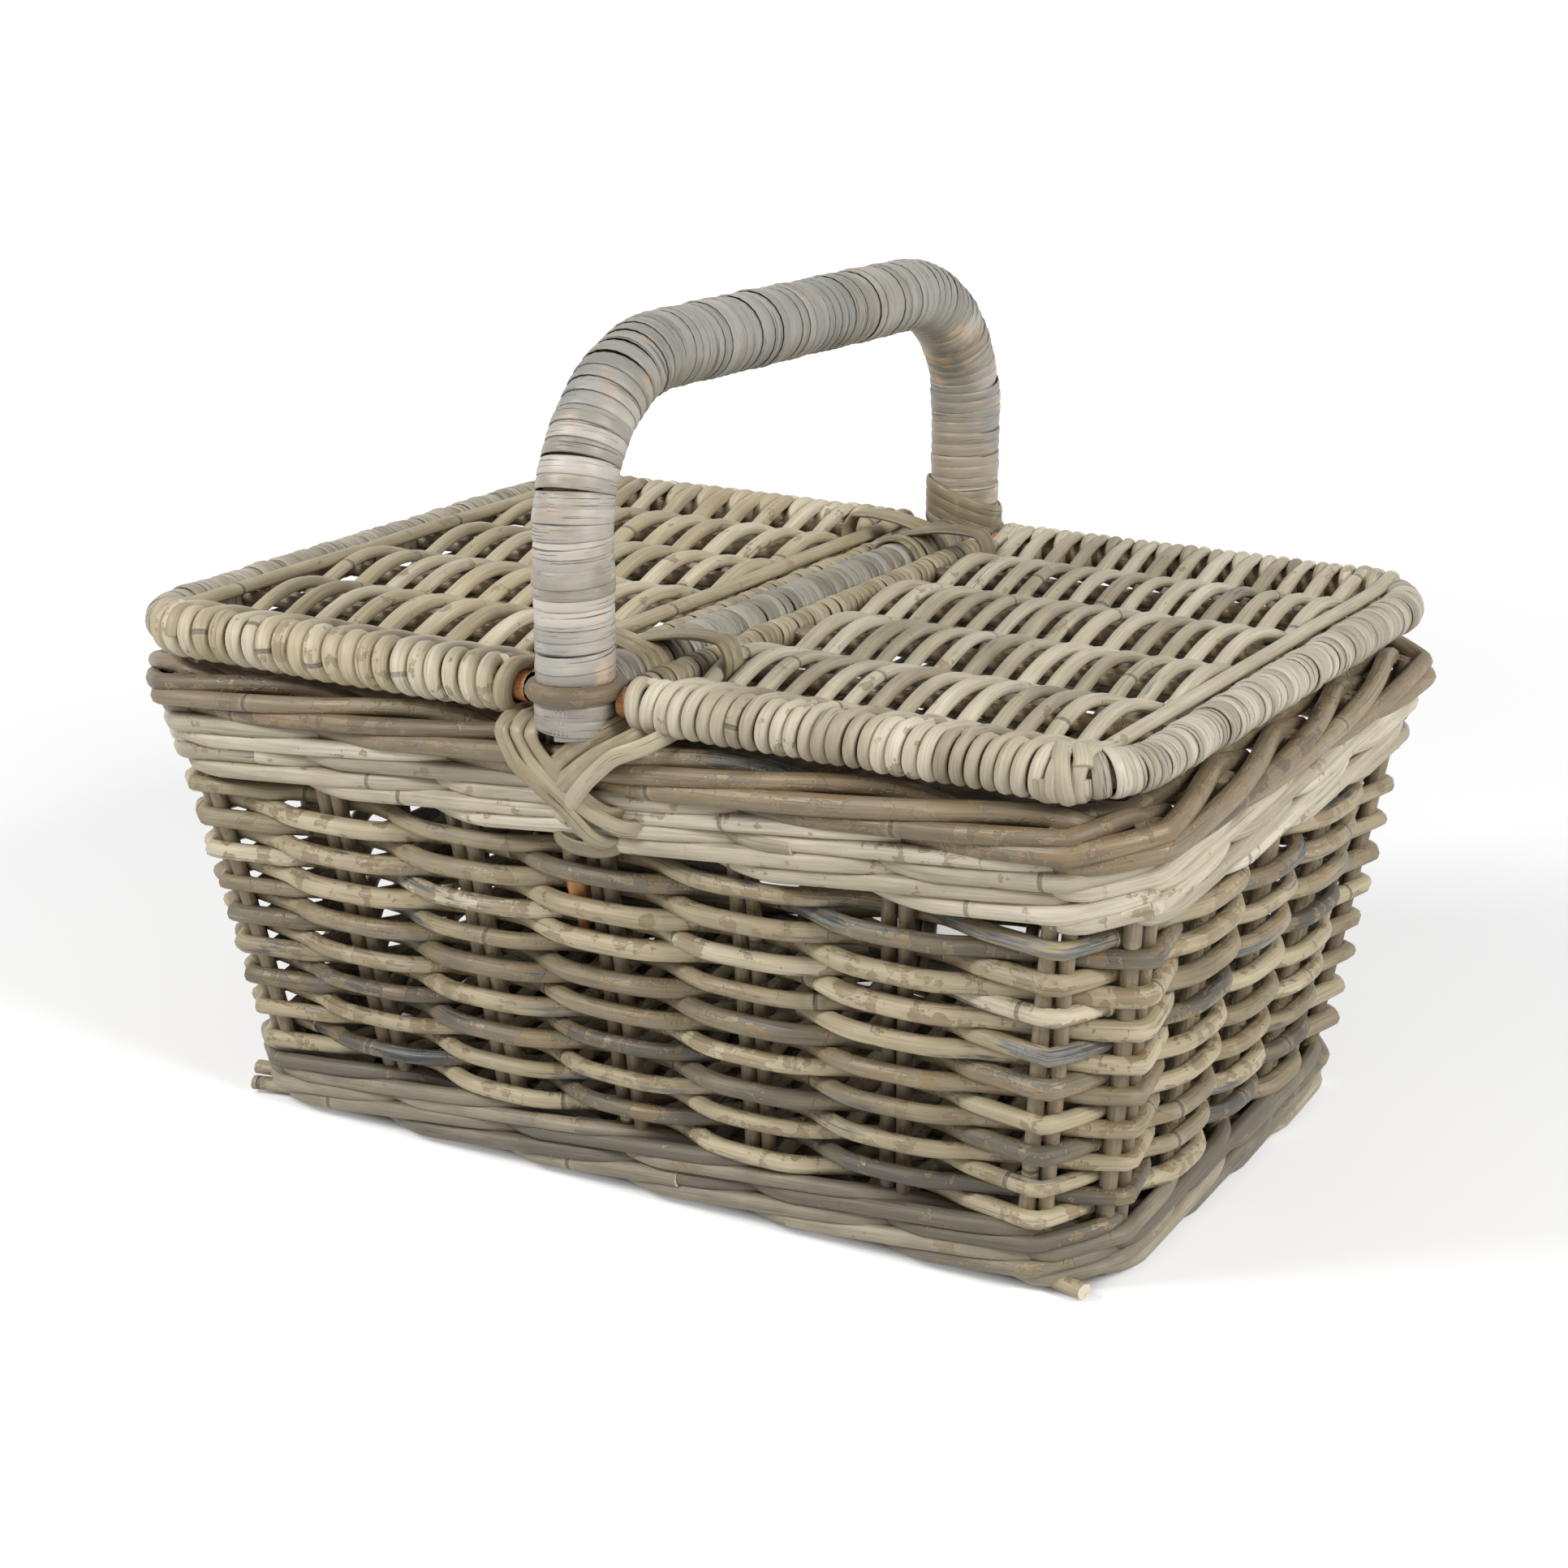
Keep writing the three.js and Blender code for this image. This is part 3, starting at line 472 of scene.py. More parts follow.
STAKE_STOPS = [
    (0.0, srgb(88, 77, 62)),
    (0.5, srgb(132, 118, 95)),
    (1.0, srgb(164, 151, 125)),
]
WOOD_STOPS = [(0.0, srgb(150, 98, 54)), (1.0, srgb(206, 146, 92))]
BARE_WOOD = srgb(204, 146, 92)
weaver_finish = rattan("weathered weaver rattan", WEAVER_STOPS, stain=0.585)
pale_finish = rattan("pale weathered rattan", PALE_STOPS, worn=0.6, stain=0.66)
lid_finish = rattan("lid weaver rattan", LID_STOPS, worn=0.62, stain=0.66)
thick_finish = rattan("thick lid rattan", WEAVER_STOPS, worn=0.6, stain=0.7)
brown_finish = rattan("glossy brown rattan", BROWN_STOPS, worn=0.5, stain=0.66, gloss=0.28, cut=BARE_WOOD)
stake_finish = rattan("stake rattan", STAKE_STOPS, worn=0.55, stain=0.68)
core_finish = rattan("bare orange core", WOOD_STOPS, worn=0.9, stain=0.9, cut=BARE_WOOD)
print("cane finishes ready")

# %% [markdown]
# ## Peel
# The handle, the crossbar and the lid ends are wound with peel, the flat outer skin of the cane. Its shade
# changes from turn to turn. Warm and grey patches run over several turns at once, so they are placed by
# where they lie on the basket and not by how far along the strip.

# %% The recipe for peel
PEEL_STREAKS = (30, 1100, 1100)
PEEL_MOTTLE = (60, 200, 200)
PEEL_SLOW = (14, 30, 30)
PATCH_DETAIL = (40, 300, 300)
RUBBED_GRAIN = (26, 420, 420)
SPLIT_GRAIN = (18, 800, 800)
DIM_GREY = srgb(128, 128, 122)
DIM_RISE = 20 * MM
RUBBED_TAN = srgb(136, 122, 92)
SPLIT_DARK = srgb(52, 46, 40)
PEEL_DEPTH = 0.4 * MM


def peel(name, stops, patches, crack=0.64, contrast=0.3, dim_above=None):
    """Flat glossy strips. Each patch has a colour, features per metre, where it starts and its share."""
    paint = Paint(bpy.data.materials.new(name))
    place = paint.attribute("strand", "Vector")
    tint = paint.attribute("tint")
    seed = paint.attribute("seed")
    ends = paint.attribute("cut")
    spot_place = paint.node("ShaderNodeTexCoord", output="Object")
    streaks = paint.noise(place, PEEL_STREAKS, seed, 3.0, 0.6)
    mottle = paint.noise(place, PEEL_MOTTLE, seed + 2.9, 3.0)
    slow = paint.noise(place, PEEL_SLOW, seed + 4.4, 2.0)
    shade = tint + (mottle - 0.5) * 0.4 + (slow - 0.5) * 0.4
    colour = paint.node("ShaderNodeValToRGB", {"stops": stops}, {"Fac": shade})
    for number, (patch, size, start, share) in enumerate(patches):
        spot = paint.noise(spot_place, (size, size, size), number * 0.31, 3.0, 0.6)
        detail = paint.noise(place, PATCH_DETAIL, seed + 6.0 + number, 3.0)
        area = (spot + (detail - 0.5) * 0.3).between(start, start + 0.12)
        colour = paint.mix(area * share, colour, patch)
    if dim_above:
        upper = paint.node("ShaderNodeSeparateXYZ", links={"Vector": spot_place}, output="Z")
        colour = paint.mix(upper.between(dim_above, dim_above + DIM_RISE) * 0.5, colour, DIM_GREY)
    rubbed = paint.noise(place, RUBBED_GRAIN, seed + 12.5, 4.0, 0.65).between(0.62, 0.66)
    colour = paint.mix(rubbed * 0.5, colour, RUBBED_TAN)
    cracks = paint.noise(place, SPLIT_GRAIN, seed + 8.8, 4.0, 0.7).between(crack, crack + 0.04)
    colour = paint.mix(cracks * 0.75, colour, SPLIT_DARK)
    grain = 1 - contrast / 2 + streaks * contrast
    colour = paint.mix(1.0, colour, paint.grey(grain), "MULTIPLY")
    colour = paint.mix(ends, colour, PITH)
    roughness = 0.32 + streaks * 0.22 + rubbed * 0.2 + cracks * 0.2
    height = streaks * 0.5 + mottle * 0.5 - cracks * 1.4 - rubbed * 0.4
    return paint.finish(colour, roughness, height, PEEL_DEPTH, 0.7)


print("the recipe for peel is ready")

# %% Kinds of peel
SILVER_STOPS = [
    (0.0, srgb(122, 114, 101)),
    (0.35, srgb(158, 152, 142)),
    (0.65, srgb(186, 180, 170)),
    (1.0, srgb(206, 199, 187)),
]
GREY_STOPS = [
    (0.0, srgb(104, 97, 86)),
    (0.35, srgb(138, 132, 120)),
    (0.65, srgb(160, 155, 143)),
    (1.0, srgb(182, 177, 165)),
]
STRAW_STOPS = [
    (0.0, srgb(116, 107, 92)),
    (0.4, srgb(160, 151, 132)),
    (0.7, srgb(188, 180, 161)),
    (1.0, srgb(214, 207, 190)),
]
OLIVE_STOPS = [
    (0.0, srgb(104, 92, 70)),
    (0.5, srgb(148, 134, 104)),
    (1.0, srgb(186, 174, 147)),
]
PEACH = srgb(222, 190, 158)
OLIVE = srgb(142, 130, 100)
WARM = srgb(164, 148, 124)
BLUE_GREY = srgb(136, 137, 134)
PALE_TAN = srgb(178, 167, 143)
DIM_FROM = high("handle_core")[2] - 40 * MM
handle_finish = peel("silver handle peel", SILVER_STOPS, [
    (WARM, 11, 0.5, 0.6), (BLUE_GREY, 15, 0.54, 0.55), (OLIVE, 22, 0.6, 0.6), (PEACH, 30, 0.58, 0.65)],
    crack=0.6, contrast=0.4, dim_above=DIM_FROM)
crossbar_finish = peel("grey crossbar peel", GREY_STOPS, [(OLIVE, 24, 0.54, 0.5)], crack=0.6)
straw_finish = peel("straw coloured peel", STRAW_STOPS, [(OLIVE, 26, 0.58, 0.5)], crack=0.58, contrast=0.5)
olive_finish = peel("olive lashing peel", OLIVE_STOPS, [(PALE_TAN, 60, 0.54, 0.5)], crack=0.62, contrast=0.45)
print("peel finishes ready")

# %% [markdown]
# ## The walls
# Pairs of stakes stand round the basket and lean outward with the walls. A path round the basket is
# measured in stakes: 0 is the first pair at the front and each whole number is the next pair. A weaver
# then only needs to know, at each pair, whether it passes outside or inside.

# %% A ring round the basket, counted in stakes
FRONT_COUNT = 7
SIDE_COUNT = 5
STAKE_COUNT = 2 * (FRONT_COUNT + SIDE_COUNT)
SEED_LIMIT = 1e6
SLOWEST_WAVE = 0.25
WAVE_STEP = 0.35


def leaning(node, axis):
    """How far out a stake pair lies along one axis at its foot and at its top, which is further out."""
    return np.sort(np.abs([low(node)[axis], high(node)[axis]]))


STAKE_LOW = low("stake_pair_front_4")[2]
STAKE_HIGH = high("stake_pair_front_4")[2]
OUT_Y = leaning("stake_pair_front_4", 1) + np.array([1, -1]) * STAKE_R
OUT_X = leaning("stake_pair_right_3", 0) + np.array([1, -1]) * STAKE_R
LAST_X = leaning("stake_pair_front_7", 0) + np.array([2, -2]) * STAKE_R
LAST_Y = leaning("stake_pair_right_5", 1) + np.array([2, -2]) * STAKE_R
FLARE = (OUT_Y[1] - OUT_Y[0]) / (STAKE_HIGH - STAKE_LOW)


def at_height(pair, z):
    return pair[0] + (pair[1] - pair[0]) * (z - STAKE_LOW) / (STAKE_HIGH - STAKE_LOW)


def stakes_at(z):
    """Places of the stake pairs in plan at a height, and the way that each faces."""
    x_out, y_out = at_height(OUT_X, z), at_height(OUT_Y, z)
    x_last, y_last = at_height(LAST_X, z), at_height(LAST_Y, z)
    front = np.stack([np.linspace(-x_last, x_last, FRONT_COUNT), np.full(FRONT_COUNT, -y_out)], -1)
    right = np.stack([np.full(SIDE_COUNT, x_out), np.linspace(-y_last, y_last, SIDE_COUNT)], -1)
    places = np.vstack([front, right, -front, -right])
    ahead = unit(np.roll(places, -1, axis=0) - places)
    side = np.stack([ahead[:, 1], -ahead[:, 0]], -1)
    return places, unit(side + np.roll(side, 1, axis=0))


def round_basket(number, z, out, lift=0.0):
    """Points at stake numbers round the basket, moved outward and upward, and the way that each faces."""
    places, facings = stakes_at(z)
    number = np.asarray(number, float)
    share = (number % 1)[:, None]
    here = np.floor(number).astype(int) % STAKE_COUNT
    following = (here + 1) % STAKE_COUNT
    facing = unit(facings[here] * (1 - share) + facings[following] * share)
    lift = np.broadcast_to(lift, number.shape)
    reach = np.broadcast_to(out, number.shape) + FLARE * lift
    plan = places[here] * (1 - share) + places[following] * share + facing * reach[:, None]
    return np.column_stack([plan, z + lift]), np.column_stack([facing, np.zeros(len(number))])


def wander(number, size, seed=None, cycles=5):
    """A slow wave of the given size from a new seed or a given one, so that no strand runs dead straight."""
    if seed is None:
        seed = dice.integers(SEED_LIMIT)
    phase = np.random.default_rng(seed).random((cycles, 2))
    pace = SLOWEST_WAVE + WAVE_STEP * np.arange(cycles)
    waves = [np.sin(number * pace[k] + 2 * math.pi * phase[k, 0]) * phase[k, 1] for k in range(cycles)]
    return size * np.sum(waves, axis=0) / math.sqrt(cycles)


print("stakes per ring", STAKE_COUNT)

# %% Stakes
STAKE_HEIGHTS = np.linspace(7 * MM, RIM_LOW + 4 * MM, 22)
STAKE_WAVES = 60
STAKE_SWAY = 0.6 * MM
TWIN_GAP = 1.03
WALLS = {"front": FRONT_COUNT, "back": FRONT_COUNT, "left": SIDE_COUNT, "right": SIDE_COUNT}
stakes = Strands()
for number in range(STAKE_COUNT):
    for side in (-1, 1):
        gauge = STAKE_R * dice.uniform(0.9, 1.08)
        lean = wander(STAKE_HEIGHTS * STAKE_WAVES, STAKE_SWAY)
        path = []
        for height, sway in zip(STAKE_HEIGHTS, lean):
            spot, outward = round_basket([number], height, 0.0)
            sideways = np.array([-outward[0, 1], outward[0, 0], 0])
            path.append(spot[0] + sideways * (side * STAKE_R * TWIN_GAP + sway))
        stakes.add(path, gauge, outward[0], dice.uniform(0.2, 0.8), cut=False)
STAKE_NODES = [f"stake_pair_{wall}_{i + 1}" for wall, count in WALLS.items() for i in range(count)]
stakes.make("stakes", "basket", stake_finish, sides=10, nodes=STAKE_NODES)

# %% [markdown]
# ## Plain weave
# Each row passes outside one pair and inside the next, and the row above does the opposite. The pass is a
# cosine with flattened tops, because a strand lies flat over the two stakes and then crosses quickly.
# A row is made of a few lengths of cane, whose ends are tucked inside behind a stake.

# %% Rows of plain weave
WEAVER_R = 3.92 * MM
ROW_PITCH = 7.6 * MM
WEAVE_LOW = WALL_LOW + 3.55 * MM
WEAVE_ROWS = 17
WEAVE_REACH = STAKE_R + WEAVER_R * 0.98
POINTS_PER_STAKE = 12
TUCK = 0.3
WALL_ENDS = np.cumsum([FRONT_COUNT, SIDE_COUNT, FRONT_COUNT, SIDE_COUNT])
CORNER_STAKES = np.concatenate([WALL_ENDS - 1, WALL_ENDS % STAKE_COUNT])


def pass_over(number, row):
    """1 outside and -1 inside. The pass is flat over a wall's stakes and pointed at the corner stakes."""
    wave = np.cos(math.pi * (number - row % 2))
    nearest = np.round(number).astype(int)
    pointed = np.sign(np.cos(math.pi * (nearest - row % 2))) * (1 - 2 * np.abs(number - nearest))
    at_corner = np.isin(nearest % STAKE_COUNT, CORNER_STAKES)
    return np.where(at_corner, pointed, wave * (1.5 - 0.5 * wave ** 2))


def strand_tint():
    """Mostly taupe, with some pale, some brown and a few dark lengths."""
    kind = dice.random()
    if kind < 0.14:
        return dice.uniform(0.0, 0.2)
    if kind < 0.68:
        return dice.uniform(0.3, 0.62)
    return dice.uniform(0.66, 0.98)


def tucked_lengths(phase, shortest=7, longest=15):
    """Cuts one round of the basket into lengths that start and end on the inside of a stake pair."""
    start = dice.integers(0, STAKE_COUNT // 2) * 2 + 1 + phase
    end = start + STAKE_COUNT
    while start < end:
        span = 2 * dice.integers(shortest // 2 + 1, longest // 2 + 1)
        stop = min(start + span, end)
        yield start, stop
        start = stop


weave = Strands()
for row in range(WEAVE_ROWS):
    for start, stop in tucked_lengths(row % 2):
        number = np.linspace(start - TUCK, stop + TUCK, int((stop - start + 2 * TUCK) * POINTS_PER_STAKE))
        gauge = WEAVER_R * dice.uniform(0.87, 1.14) * (1 + wander(number, 0.035))
        out = WEAVE_REACH * pass_over(number, row) + wander(number, 0.7 * MM)
        lift = wander(number, 1.1 * MM)
        points, outward = round_basket(number, WEAVE_LOW + row * ROW_PITCH, out, lift)
        weave.add(points, gauge, outward, strand_tint())
WALL_NODES = [f"wall_weave_{wall}" for wall in WALLS]
weave.make("plain_weave_rows", "basket", weaver_finish, sides=10, nodes=WALL_NODES)

# %% [markdown]
# ## Waling
# Above and below the plain weave, three strands are worked together: each passes in front of two pairs and
# behind one, and climbs as it goes, so the front shows long slanting strands like a rope.

# %% Waling at the top and at the foot
WALE_R = 3.9 * MM
WALE_ROWS = 2
WALE_STRANDS = 3
TOP_WALE_LOW = 170 * MM
TOP_WALE_PITCH = 13.4 * MM
FOOT_WALE_LOW = 10.6 * MM
FOOT_WALE_PITCH = 12 * MM


def softened(values, reach=3):
    """A running mean, so that turns of a path are round."""
    return np.convolve(np.pad(values, reach, mode="edge"), np.ones(2 * reach + 1) / (2 * reach + 1), "valid")


def wale_stroke(number, turn, climb):
    """Out and up for a strand that is in front for two stakes, climbing, and behind for one, going down."""
    along = (number + turn) % WALE_STRANDS
    behind = np.clip(1 - np.abs(along - 2.5) / 0.8, 0, 1)
    out = (STAKE_R + WALE_R) * (1 - 2 * softened(behind * behind * (3 - 2 * behind)))
    lift = np.interp(along, [0, 2, 3], [-climb / 2, climb / 2, -climb / 2])
    return out, softened(lift, 4)


def add_wale(strands, z, climb, tints):
    for turn in range(WALE_STRANDS):
        first = dice.integers(0, STAKE_COUNT)
        for half in (0, STAKE_COUNT / 2):
            start = first + half
            number = np.linspace(start - 0.4, start + STAKE_COUNT / 2 + 0.4, STAKE_COUNT * 7)
            out, lift = wale_stroke(number, turn, climb)
            out = out + wander(number, 0.7 * MM)
            lift = lift + wander(number, 0.8 * MM)
            gauge = WALE_R * dice.uniform(0.9, 1.08) * (1 + wander(number, 0.04))
            points, outward = round_basket(number, z, out, lift)
            strands.add(points, gauge, outward, dice.uniform(*tints) + wander(number, 0.08))


top_wale = Strands()
for row in range(WALE_ROWS):
    add_wale(top_wale, TOP_WALE_LOW + row * TOP_WALE_PITCH, TOP_WALE_PITCH, (0.25, 0.95))
top_wale.make("top_waling", "basket", pale_finish, sides=10)
foot_wale = Strands()
for row in range(WALE_ROWS):
    add_wale(foot_wale, FOOT_WALE_LOW + row * FOOT_WALE_PITCH, FOOT_WALE_PITCH, (-0.1, 0.5))
foot_wale.make("foot_waling", "basket", pale_finish, sides=10, nodes=["foot_border"])

# %% [markdown]
# ## The rolled border
# At the top each pair of stakes is bent over, laid along the rim past the next pairs and tucked in. The
# border is therefore a loose rope of overlapping rods: each starts inside, crosses the top, runs down the
# outside and ends under its neighbours. One more rod runs round the inside, under the edges of the lids.

# %% Border rods
BORDER_R = 4.4 * MM
BORDER_LEVEL = RIM_HIGH - BORDER_R - 1.5 * MM
BORDER_STOPS = np.array([0, 0.3, 0.8, 1.5, 2.2, 2.7, 3.1, 3.5])
BORDER_OUT = np.array([-1, 7.5, 10.5, 11, 8, 0, -7, -6]) * MM
BORDER_LIFT = np.array([-17, -15.5, -12, -8, -3.5, 0, -1.5, -10]) * MM
BORDER_SOFTNESS = 5
INNER_LENGTHS = 4
INNER_SPAN = STAKE_COUNT / INNER_LENGTHS
INNER_ROD_OUT = -11.8 * MM
INNER_ROD_RISE = RIM_HIGH - 8.6 * MM


def rolled(stops, along):
    """Values at the border's stops, rounded off between them."""
    return softened(np.interp(along, BORDER_STOPS, stops), BORDER_SOFTNESS)


border = Strands()
along = np.linspace(BORDER_STOPS[0], BORDER_STOPS[-1], 60)
for number in range(STAKE_COUNT):
    out = rolled(BORDER_OUT, along) + dice.uniform(-1.0, 1.0) * MM
    lift = rolled(BORDER_LIFT, along) + dice.uniform(-1.2, 0.6) * MM
    start = number + dice.uniform(-0.12, 0.12)
    points, outward = round_basket(start + along, BORDER_LEVEL, out, lift)
    border.add(points, BORDER_R * dice.uniform(0.85, 1.04), outward, dice.uniform(0.1, 0.85), cut=False)
for length in range(INNER_LENGTHS):
    number = np.linspace(length * INNER_SPAN + 1.7, (length + 1) * INNER_SPAN + 2.0, 90)
    sway = wander(number, 0.5 * MM, seed=length)
    points, outward = round_basket(number, INNER_ROD_RISE, INNER_ROD_OUT + sway)
    border.add(points, BORDER_R, outward, 0.2 + 0.18 * length, cut=False)
border.make("rim_border_rods", "basket", brown_finish, sides=10, nodes=["rim_border"])

# %% [markdown]
# ## Rods with a bend, and strips wound round them
# The handle and the lid frames are rods bent twice. A path gives, for a distance along it, the middle of
# the rod and two directions across it. A wound strip is the same path followed in a helix.

# %% Bent and straight rods
class BentRod:
    """Up one leg, round a bend, along the span, round a bend and down again, in a plane of two axes."""

    def __init__(self, span, rise, bend, origin, across, upward, settle=None):
        self.span, self.bend, self.origin = span, bend, np.array(origin)
        self.across, self.upward = np.array(across, float), np.array(upward, float)
        self.square = np.cross(self.across, self.upward)
        self.leg = rise - bend
        self.arc = bend * math.pi / 2
        self.length = 2 * (self.leg + self.arc) + span - 2 * bend
        self.settle = settle

    def at(self, s):
        """Middle of the rod, the way out of the bend, and the way square to the rod's plane."""
        s = np.asarray(s, float)
        mirrored = s > self.length / 2
        near = np.where(mirrored, self.length - s, s)
        turn = np.clip((near - self.leg) / self.bend, 0, math.pi / 2)
        over = np.maximum(near - self.leg - self.arc, 0)
        u = -self.span / 2 + self.bend * (1 - np.cos(turn)) + over
        v = np.minimum(near, self.leg) + self.bend * np.sin(turn)
        flip = np.where(mirrored, -1.0, 1.0)
        centre = self.origin + np.outer(u * flip, self.across) + np.outer(v, self.upward)
        if self.settle:
            centre = self.settle(centre)
        outward = np.outer(-np.cos(turn) * flip, self.across) + np.outer(np.sin(turn), self.upward)
        return centre, outward, np.broadcast_to(self.square, centre.shape)


class StraightRod:
    """A straight rod along Y."""

    def __init__(self, x, z, half_length):
        self.x, self.z, self.length = x, z, 2 * half_length

    def at(self, s):
        s = np.asarray(s, float)
        one, zero = np.ones_like(s), np.zeros_like(s)
        centre = np.stack([one * self.x, s - self.length / 2, one * self.z], -1)
        return centre, np.stack([one, zero, zero], -1), np.stack([zero, zero, one], -1)


print("bent and straight rods are ready")

# %% Windings
POINTS_PER_TURN = 22
NEVER_ZERO = 1e-9


def add_rod(strands, rod, start, end, radius, tint, steps=60):
    centre, outward, sideways = rod.at(np.linspace(start, end, steps))
    strands.add(centre, radius, sideways + 0.01 * outward, tint)


def add_winding(strands, rod, start, end, pitch, core, half_width, thin, tints,
                lengths=6, shingle=0.06, jitter=0.35, sway=0.1):
    """Flat strip wound from one place on a rod to another, in a few lengths, each turn a little uneven."""
    turns = (end - start) / pitch
    t = np.arange(int(turns * POINTS_PER_TURN) + 1) / POINTS_PER_TURN
    marks = np.arange(int(turns) + 2)
    uneven = np.interp(t, marks, dice.normal(0, sway, len(marks)))
    proud = np.interp(t, marks, dice.normal(0, jitter, len(marks))) * MM
    centre, outward, sideways = rod.at(np.clip(start + pitch * (t + uneven), start, end))
    angle = 2 * math.pi * t[:, None]
    radial = outward * np.cos(angle) + sideways * np.sin(angle)
    points = centre + radial * (core + half_width * thin + proud)[:, None]
    axial = unit(np.gradient(centre, axis=0) + NEVER_ZERO)
    facing = radial + axial * shingle
    tint = np.clip(np.interp(t, marks, dice.uniform(*tints, len(marks))), 0, 1)
    cuts = np.linspace(0, len(t) - 1, lengths + 1).astype(int)
    for first, last in zip(cuts[:-1], cuts[1:]):
        part = slice(first, last + 1)
        strands.add(points[part], half_width, facing[part], tint[part], cut=False)


def turn_round(turns, steps):
    """Angles for a strip that goes once round a rod, or a little further so that its ends overlap."""
    return np.linspace(0, 2 * math.pi * turns, steps)


def ramp(values, start, length):
    """0 up to the start, then rising to 1 over the length."""
    return np.clip((values - start) / length, 0, 1)


print("a turn of a winding has", POINTS_PER_TURN, "points")

# %% [markdown]
# ## The handle
# A thick bent core is wound from leg to leg with flat peel. Its ends are shaved to points and driven down
# into the walls beside the middle stakes, a round collar hides the end of the winding, and crossed strips
# lash the foot of each leg to the rim.

# %% Handle core and tongues
HANDLE_FOOT = RIM_HIGH + 0.3 * MM
CORE_R = (high("handle_core") - low("handle_core"))[1] / 2 - LEG_Y
HANDLE_BEND = 65 * MM
HANDLE_RISE = high("handle_core")[2] - CORE_R - HANDLE_FOOT
BACK_DROP = 6 * MM
TONGUE_TIP = low("handle_core")[2]
TONGUE_X = -13 * MM
TONGUE_HEIGHTS = [TONGUE_TIP, TONGUE_TIP + 22 * MM, HANDLE_FOOT]
TONGUE_WIDTHS = np.array([0.7, 4.6, 5.2]) * MM
NECK_Y = at_height(OUT_Y, HANDLE_FOOT)
TIP_Y = at_height(OUT_Y, TONGUE_TIP)
TONGUE_STATIONS = np.array([
    [-4 * MM, -LEG_Y, HANDLE_FOOT + 8 * MM],
    [TONGUE_X * 0.8, -LEG_Y + 9 * MM, HANDLE_FOOT + 2 * MM],
    [TONGUE_X, -NECK_Y, HANDLE_FOOT - 6 * MM],
    [TONGUE_X, -(NECK_Y + TIP_Y) / 2, (HANDLE_FOOT + TONGUE_TIP) / 2],
    [TONGUE_X, -TIP_Y, TONGUE_TIP],
])
SHAVED_BELOW = 150 * MM
SHAVED_OVERLAP = 4 * MM


def rounded_path(stations, steps):
    """A path through stations, evenly spaced and rounded at its bends."""
    stations = np.array(stations, float)
    travelled = np.concatenate([[0], np.cumsum(np.linalg.norm(np.diff(stations, axis=0), axis=1))])
    fine = np.linspace(0, travelled[-1], steps)
    run = np.stack([np.interp(fine, travelled, column) for column in stations.T], -1)
    for _ in range(3):
        run[1:-1] = (run[:-2] + 2 * run[1:-1] + run[2:]) / 4
    return run


def settled_handle(centre):
    """The handle has sunk a little at its back leg."""
    back = np.clip(0.5 + centre[:, 1] / (2 * LEG_Y), 0, 1)
    up = ramp(centre[:, 2], HANDLE_FOOT, HANDLE_RISE)
    return centre - np.outer(BACK_DROP * back * up, [0, 0, 1])


handle_rod = BentRod(
    2 * LEG_Y, HANDLE_RISE, HANDLE_BEND, (0, 0, HANDLE_FOOT), (0, 1, 0), (0, 0, 1), settled_handle)
handle_core = Strands()
add_rod(handle_core, handle_rod, 0, handle_rod.length, CORE_R, 0.4, 80)
tongues = Strands()
for facing_side in (-1, 1):
    down = rounded_path(TONGUE_STATIONS * np.array([-facing_side, -facing_side, 1]), 40)
    width = np.interp(down[:, 2], TONGUE_HEIGHTS, TONGUE_WIDTHS)
    barked = down[:, 2] > SHAVED_BELOW - SHAVED_OVERLAP
    shaved = down[:, 2] < SHAVED_BELOW
    handle_core.add(down[barked], width[barked], (1, 0, 0), 0.3)
    tongues.add(down[shaved], width[shaved], (1, 0, 0), 0.9)
handle_core.make("handle_core_rod", "basket", brown_finish, sides=16, nodes=["handle_core"])
tongues.make("handle_tongues", "basket", core_finish, sides=10)

# %% Handle winding and collars
PEEL_FLAT = 0.17
HANDLE_PAD = 1.7 * MM
HANDLE_PITCH = 5.6 * MM
HANDLE_STRIP = 3.7 * MM
HANDLE_INSET = 1 * MM
FOOT_TURNS = (3.0 * MM, 8.2 * MM)
FOOT_STRIP = 3.4 * MM
COLLAR_FOOT = low("collar_front")[2]
COLLAR_RING_R = CORE_R + 3.1 * MM
COLLAR_ROD_R = 4.1 * MM
handle_peel = Strands()
add_winding(handle_peel, handle_rod, HANDLE_INSET, handle_rod.length - HANDLE_INSET, HANDLE_PITCH,
            CORE_R + HANDLE_PAD, HANDLE_STRIP, PEEL_FLAT, (0.24, 0.94),
            lengths=9, shingle=0.11, jitter=0.26, sway=0.12)
for facing_side in (-1, 1):
    for rise in FOOT_TURNS:
        t = turn_round(1.06, 60)
        around = np.stack([np.sin(t), facing_side * np.cos(t), 0 * t], -1)
        foot = np.array([0, facing_side * LEG_Y, HANDLE_FOOT + rise])
        tilt = np.outer(np.sin(t + rise * 900) * 0.8 * MM, [0, 0, 1])
        handle_peel.add(foot + around * (CORE_R + 3.0 * MM) + tilt, FOOT_STRIP, around, 0.35, cut=False)
handle_peel.make("handle_peel", "basket", handle_finish, sides=12, flatness=PEEL_FLAT,
                 nodes=["handle_wrap"])

